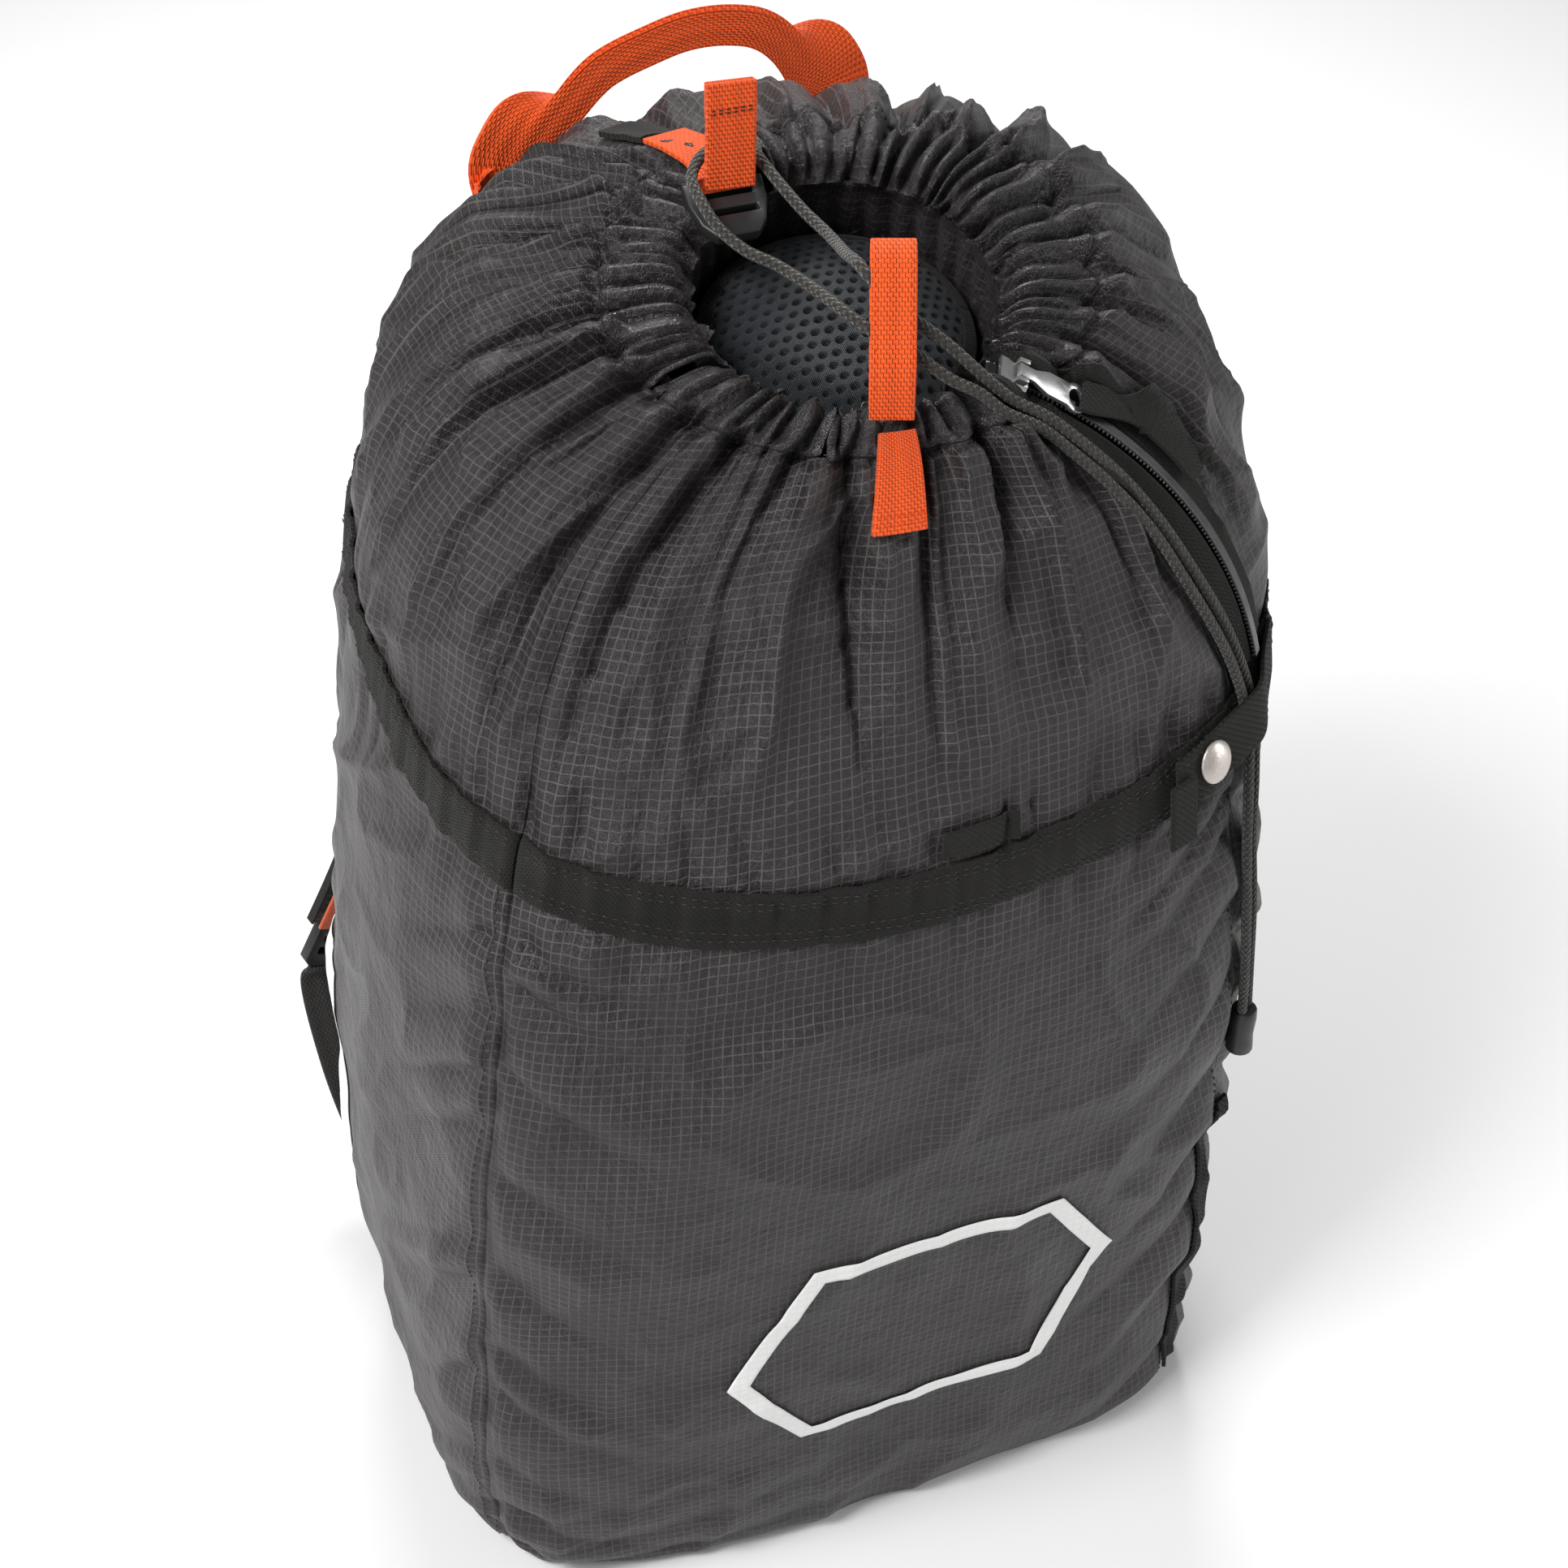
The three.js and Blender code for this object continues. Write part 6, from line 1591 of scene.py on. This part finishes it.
def shoulder_strap(label, side):
    """A padded strap with its lining, bindings, lock, lower webbing and sewn ends."""
    route = [on_exact(mirrored(a, side), l, lift * MM) for a, l, lift in PAD_ROUTE]
    count = 110
    line, length = smooth_line(route, count)
    tangent = unit(np.gradient(line, axis=0))
    across = unit(np.array([1.0, -0.3 * side, 0]))
    across = np.broadcast_to(across, line.shape)
    across = unit(across - (across * tangent).sum(1, keepdims=True) * tangent)
    out = np.cross(across, tangent)
    share = np.linspace(0, 1, count)
    width = PAD_TOP_WIDTH + (PAD_WIDTH - PAD_TOP_WIDTH) * smooth_step(share, 0, 0.35)
    width = width - PAD_NARROWING * smooth_step(share, 0.7, 1)

    def pad_face(top):
        def place(a, b):
            row = np.rint(b * (count - 1)).astype(int)
            off = 2 * a - 1
            rim = np.sqrt(np.clip(1 - np.abs(off) ** 5, 0, 1))
            near_end = smooth_step(np.minimum(b, 1 - b), 0, 0.03)
            quilt = 1 - 0.22 * bell(np.abs(off) - 0.86, 0.05)
            crease = 1 - 0.10 * bell((b * 7) % 1 - 0.5, 0.12) * (1 - off**2)
            high = PAD_THICKNESS / 2 * rim * quilt * crease * (0.35 + 0.65 * near_end)
            point = line[row] + across[row] * (off * width[row] / 2)[:, None]
            return point + out[row] * (high * (1 if top else -1))[:, None]

        return place

    bm = cloth_grid(40, count - 1, pad_face(True), (PAD_WIDTH, length))
    under = cloth_grid(40, count - 1, pad_face(False), (PAD_WIDTH, length))
    bmesh.ops.reverse_faces(under, faces=under.faces)
    below = bpy.data.meshes.new("pad_under")
    under.to_mesh(below)
    under.free()
    bm.from_mesh(below)
    bpy.data.meshes.remove(below)
    bmesh.ops.remove_doubles(bm, verts=bm.verts, dist=2e-5)
    bmesh.ops.holes_fill(bm, edges=[e for e in bm.edges if e.is_boundary], sides=0)
    bmesh.ops.recalc_face_normals(bm, faces=bm.faces)
    body = f"{label}_strap"
    pad = finished(f"shoulder_pad_{label}_cloth", bm, [f"shoulder_pad_{label}"], body,
                   [ripstop])
    lining_line = line - out * (PAD_THICKNESS / 2 + 0.0015)
    lining = strip_along(lining_line, across, width - 0.003, 0.0014, 16)
    finished(f"pad_lining_{label}_cloth", lining, [f"pad_lining_{label}"], body,
             [orange_lining])
    for edge in (-1, 1):
        side_line = line + across * (edge * (width / 2 - 0.0045))[:, None]
        stitches(f"pad_stitching_{label}_{edge + 1}",
                 side_line[4:-4] + out[4:-4] * PAD_THICKNESS * 0.40, out[4:-4],
                 [grey_thread], body=body)
        binding_line = line + across * (edge * (width / 2 - 0.0002))[:, None]
        binding = strip_along(binding_line, out, 0.0045, 0.0012, 6)
        finished(f"pad_binding_{label}_{edge + 1}", binding, (), body, [twill])
    refined_copy(f"ladder_lock_{label}", 0.0006, [black_plastic], 3)
    down = tangent[-1]
    lower_start = line[-1] + down * 0.024
    points = [lower_start, lower_start + down * 0.005] + [
        on_exact(mirrored(a, side), l, lift * MM) for a, l, lift in LOWER_ROUTE
    ]
    lower, _ = smooth_line(points, 50)
    webbing = strip_along(lower, across[0], 0.020, WEBBING_THICKNESS, 10)
    finished(f"lower_webbing_{label}_piece", webbing, [f"lower_webbing_{label}"], body,
             [dark_webbing])
    # The webbing goes up through the lock, over its middle bar and down again.
    start = line[-1] + down * 0.0245
    lock_across = unit(across[-1] - down * np.dot(across[-1], down))
    lock_out = np.cross(lock_across, down)
    bar = [start, start - down * 0.004 + lock_out * 0.0010, start - down * 0.0085 +
           lock_out * 0.0034, start - down * 0.0125 + lock_out * 0.0030,
           start - down * 0.0160 - lock_out * 0.0008]
    bar_line, _ = smooth_line(bar, 40)
    wrapped = strip_along(bar_line, lock_across, 0.0195, 0.0014, 10)
    finished(f"lock_webbing_{label}", wrapped, (), body, [dark_webbing])
    for node, angles, levels in (
        (f"strap_anchor_{label}", (107, 119), (6.57, 6.8)),
        (f"strap_wedge_{label}", (137, 142), (1.05, 1.5)),
    ):
        ends = sorted(mirrored(angle, side) for angle in angles)
        sewn_patch(node + "_piece", ends, levels, 0.0008, 0.002, (14, 14), (0.03, 0.02),
                   [node], [twill], 0.0006)


shoulder_strap("left", -1)
shoulder_strap("right", 1)

# ------------------------------------------------------------------------------ prints

PRINT_LIFT, PRINT_THICKNESS = 0.0004, 0.0003


def patch_uv(angles, levels):
    """The cloth's own distances on a patch, so that its weave runs on through the print."""
    return (1, 1, lambda a, b: cloth_uv(
        "body", angles[0] + (angles[1] - angles[0]) * a, levels[0] + (levels[1] - levels[0]) * b))


sewn_patch("side_print_ink", (151, 163), (1.5, 3.5), PRINT_LIFT, PRINT_THICKNESS, (30, 120),
           patch_uv((151, 163), (1.5, 3.5)), ["side_print"], [white_print], 0)

# The mark's corners and middle: angle and level.
MARK_MIDDLE = (273.5, 2.6)
MARK_CORNERS = np.array(
    [(248, 2.55), (258, 3.2), (291, 3.2), (299, 2.75), (292, 2.0), (258, 1.95)]
)
MARK_STROKE = 0.0065


def front_mark():
    """A plain hexagon outline printed on the front."""
    round_way = smooth_point(274.5, 2.6) - smooth_point(272.5, 2.6)
    across = np.linalg.norm(round_way) / 2
    up = np.linalg.norm(smooth_point(273.5, 2.62) - smooth_point(273.5, 2.58)) / 0.04
    outer = (MARK_CORNERS - MARK_MIDDLE) * (across, up)
    sides = unit(np.roll(outer, -1, 0) - outer)
    inward = np.stack([sides[:, 1], -sides[:, 0]], 1)
    miter = unit(inward + np.roll(inward, 1, 0))
    inner = outer + miter * (MARK_STROKE / (miter * inward).sum(1))[:, None]
    ring = np.arange(7)

    def where(a, b):
        place_round = a * 6
        edge = [np.interp(place_round, ring, np.append(outer[:, k], outer[0, k]))
                for k in (0, 1)]
        inside = [np.interp(place_round, ring, np.append(inner[:, k], inner[0, k]))
                  for k in (0, 1)]
        x = edge[0] + (inside[0] - edge[0]) * b
        y = edge[1] + (inside[1] - edge[1]) * b
        return MARK_MIDDLE[0] + x / across, MARK_MIDDLE[1] + y / up

    def place(a, b):
        return on_skin(*where(a, b), PRINT_LIFT + PRINT_THICKNESS + 0 * a)

    bm = cloth_grid(300, 6, place, (1, 1, lambda a, b: cloth_uv(
        "body", *(float(v) for v in where(a, b)))), closed=True)
    thicken(bm, PRINT_THICKNESS)
    return finished("front_mark_ink", bm, ["front_mark"], "shell",
                    [white_print])


front_mark()

# ------------------------------------------------------------------------------ studio

bpy.ops.mesh.primitive_plane_add(size=6, location=(0, 0, -0.0005))
floor = bpy.context.object
floor.name = "studio_floor"
floor_finish = bpy.data.materials.new("pale floor")
floor_finish.use_nodes = True
floor_finish.node_tree.nodes["Principled BSDF"].inputs["Base Color"].default_value = (
    0.9, 0.9, 0.9, 1)
floor_finish.node_tree.nodes["Principled BSDF"].inputs["Roughness"].default_value = 0.9
floor.data.materials.append(floor_finish)

world = bpy.data.worlds.new("studio")
world.use_nodes = True
world.node_tree.nodes["Background"].inputs["Color"].default_value = (1, 1, 1, 1)
world.node_tree.nodes["Background"].inputs["Strength"].default_value = 0.24
bpy.context.scene.world = world


def soft_light(name, place, aim, size, power):
    """A rectangular light that faces its aim."""
    data = bpy.data.lights.new(name, "AREA")
    data.shape = "RECTANGLE"
    data.size, data.size_y = size
    data.energy = power
    light = bpy.data.objects.new(name, data)
    bpy.context.scene.collection.objects.link(light)
    light.location = place
    way = Vector(aim) - Vector(place)
    light.rotation_euler = way.to_track_quat("-Z", "Y").to_euler()
    return light


MIDDLE = (0, 0, 0.28)
soft_light("high_key", (-0.9, -0.3, 1.5), MIDDLE, (0.6, 0.6), 24)
soft_light("left_fill", (-1.3, -1.0, 0.5), MIDDLE, (0.4, 1.0), 5)
soft_light("right_fill", (1.4, -0.5, 0.6), MIDDLE, (0.4, 1.0), 8)
soft_light("back_rim", (0.3, 1.2, 1.5), MIDDLE, (0.8, 0.4), 22)
bpy.context.scene.view_settings.view_transform = "Standard"
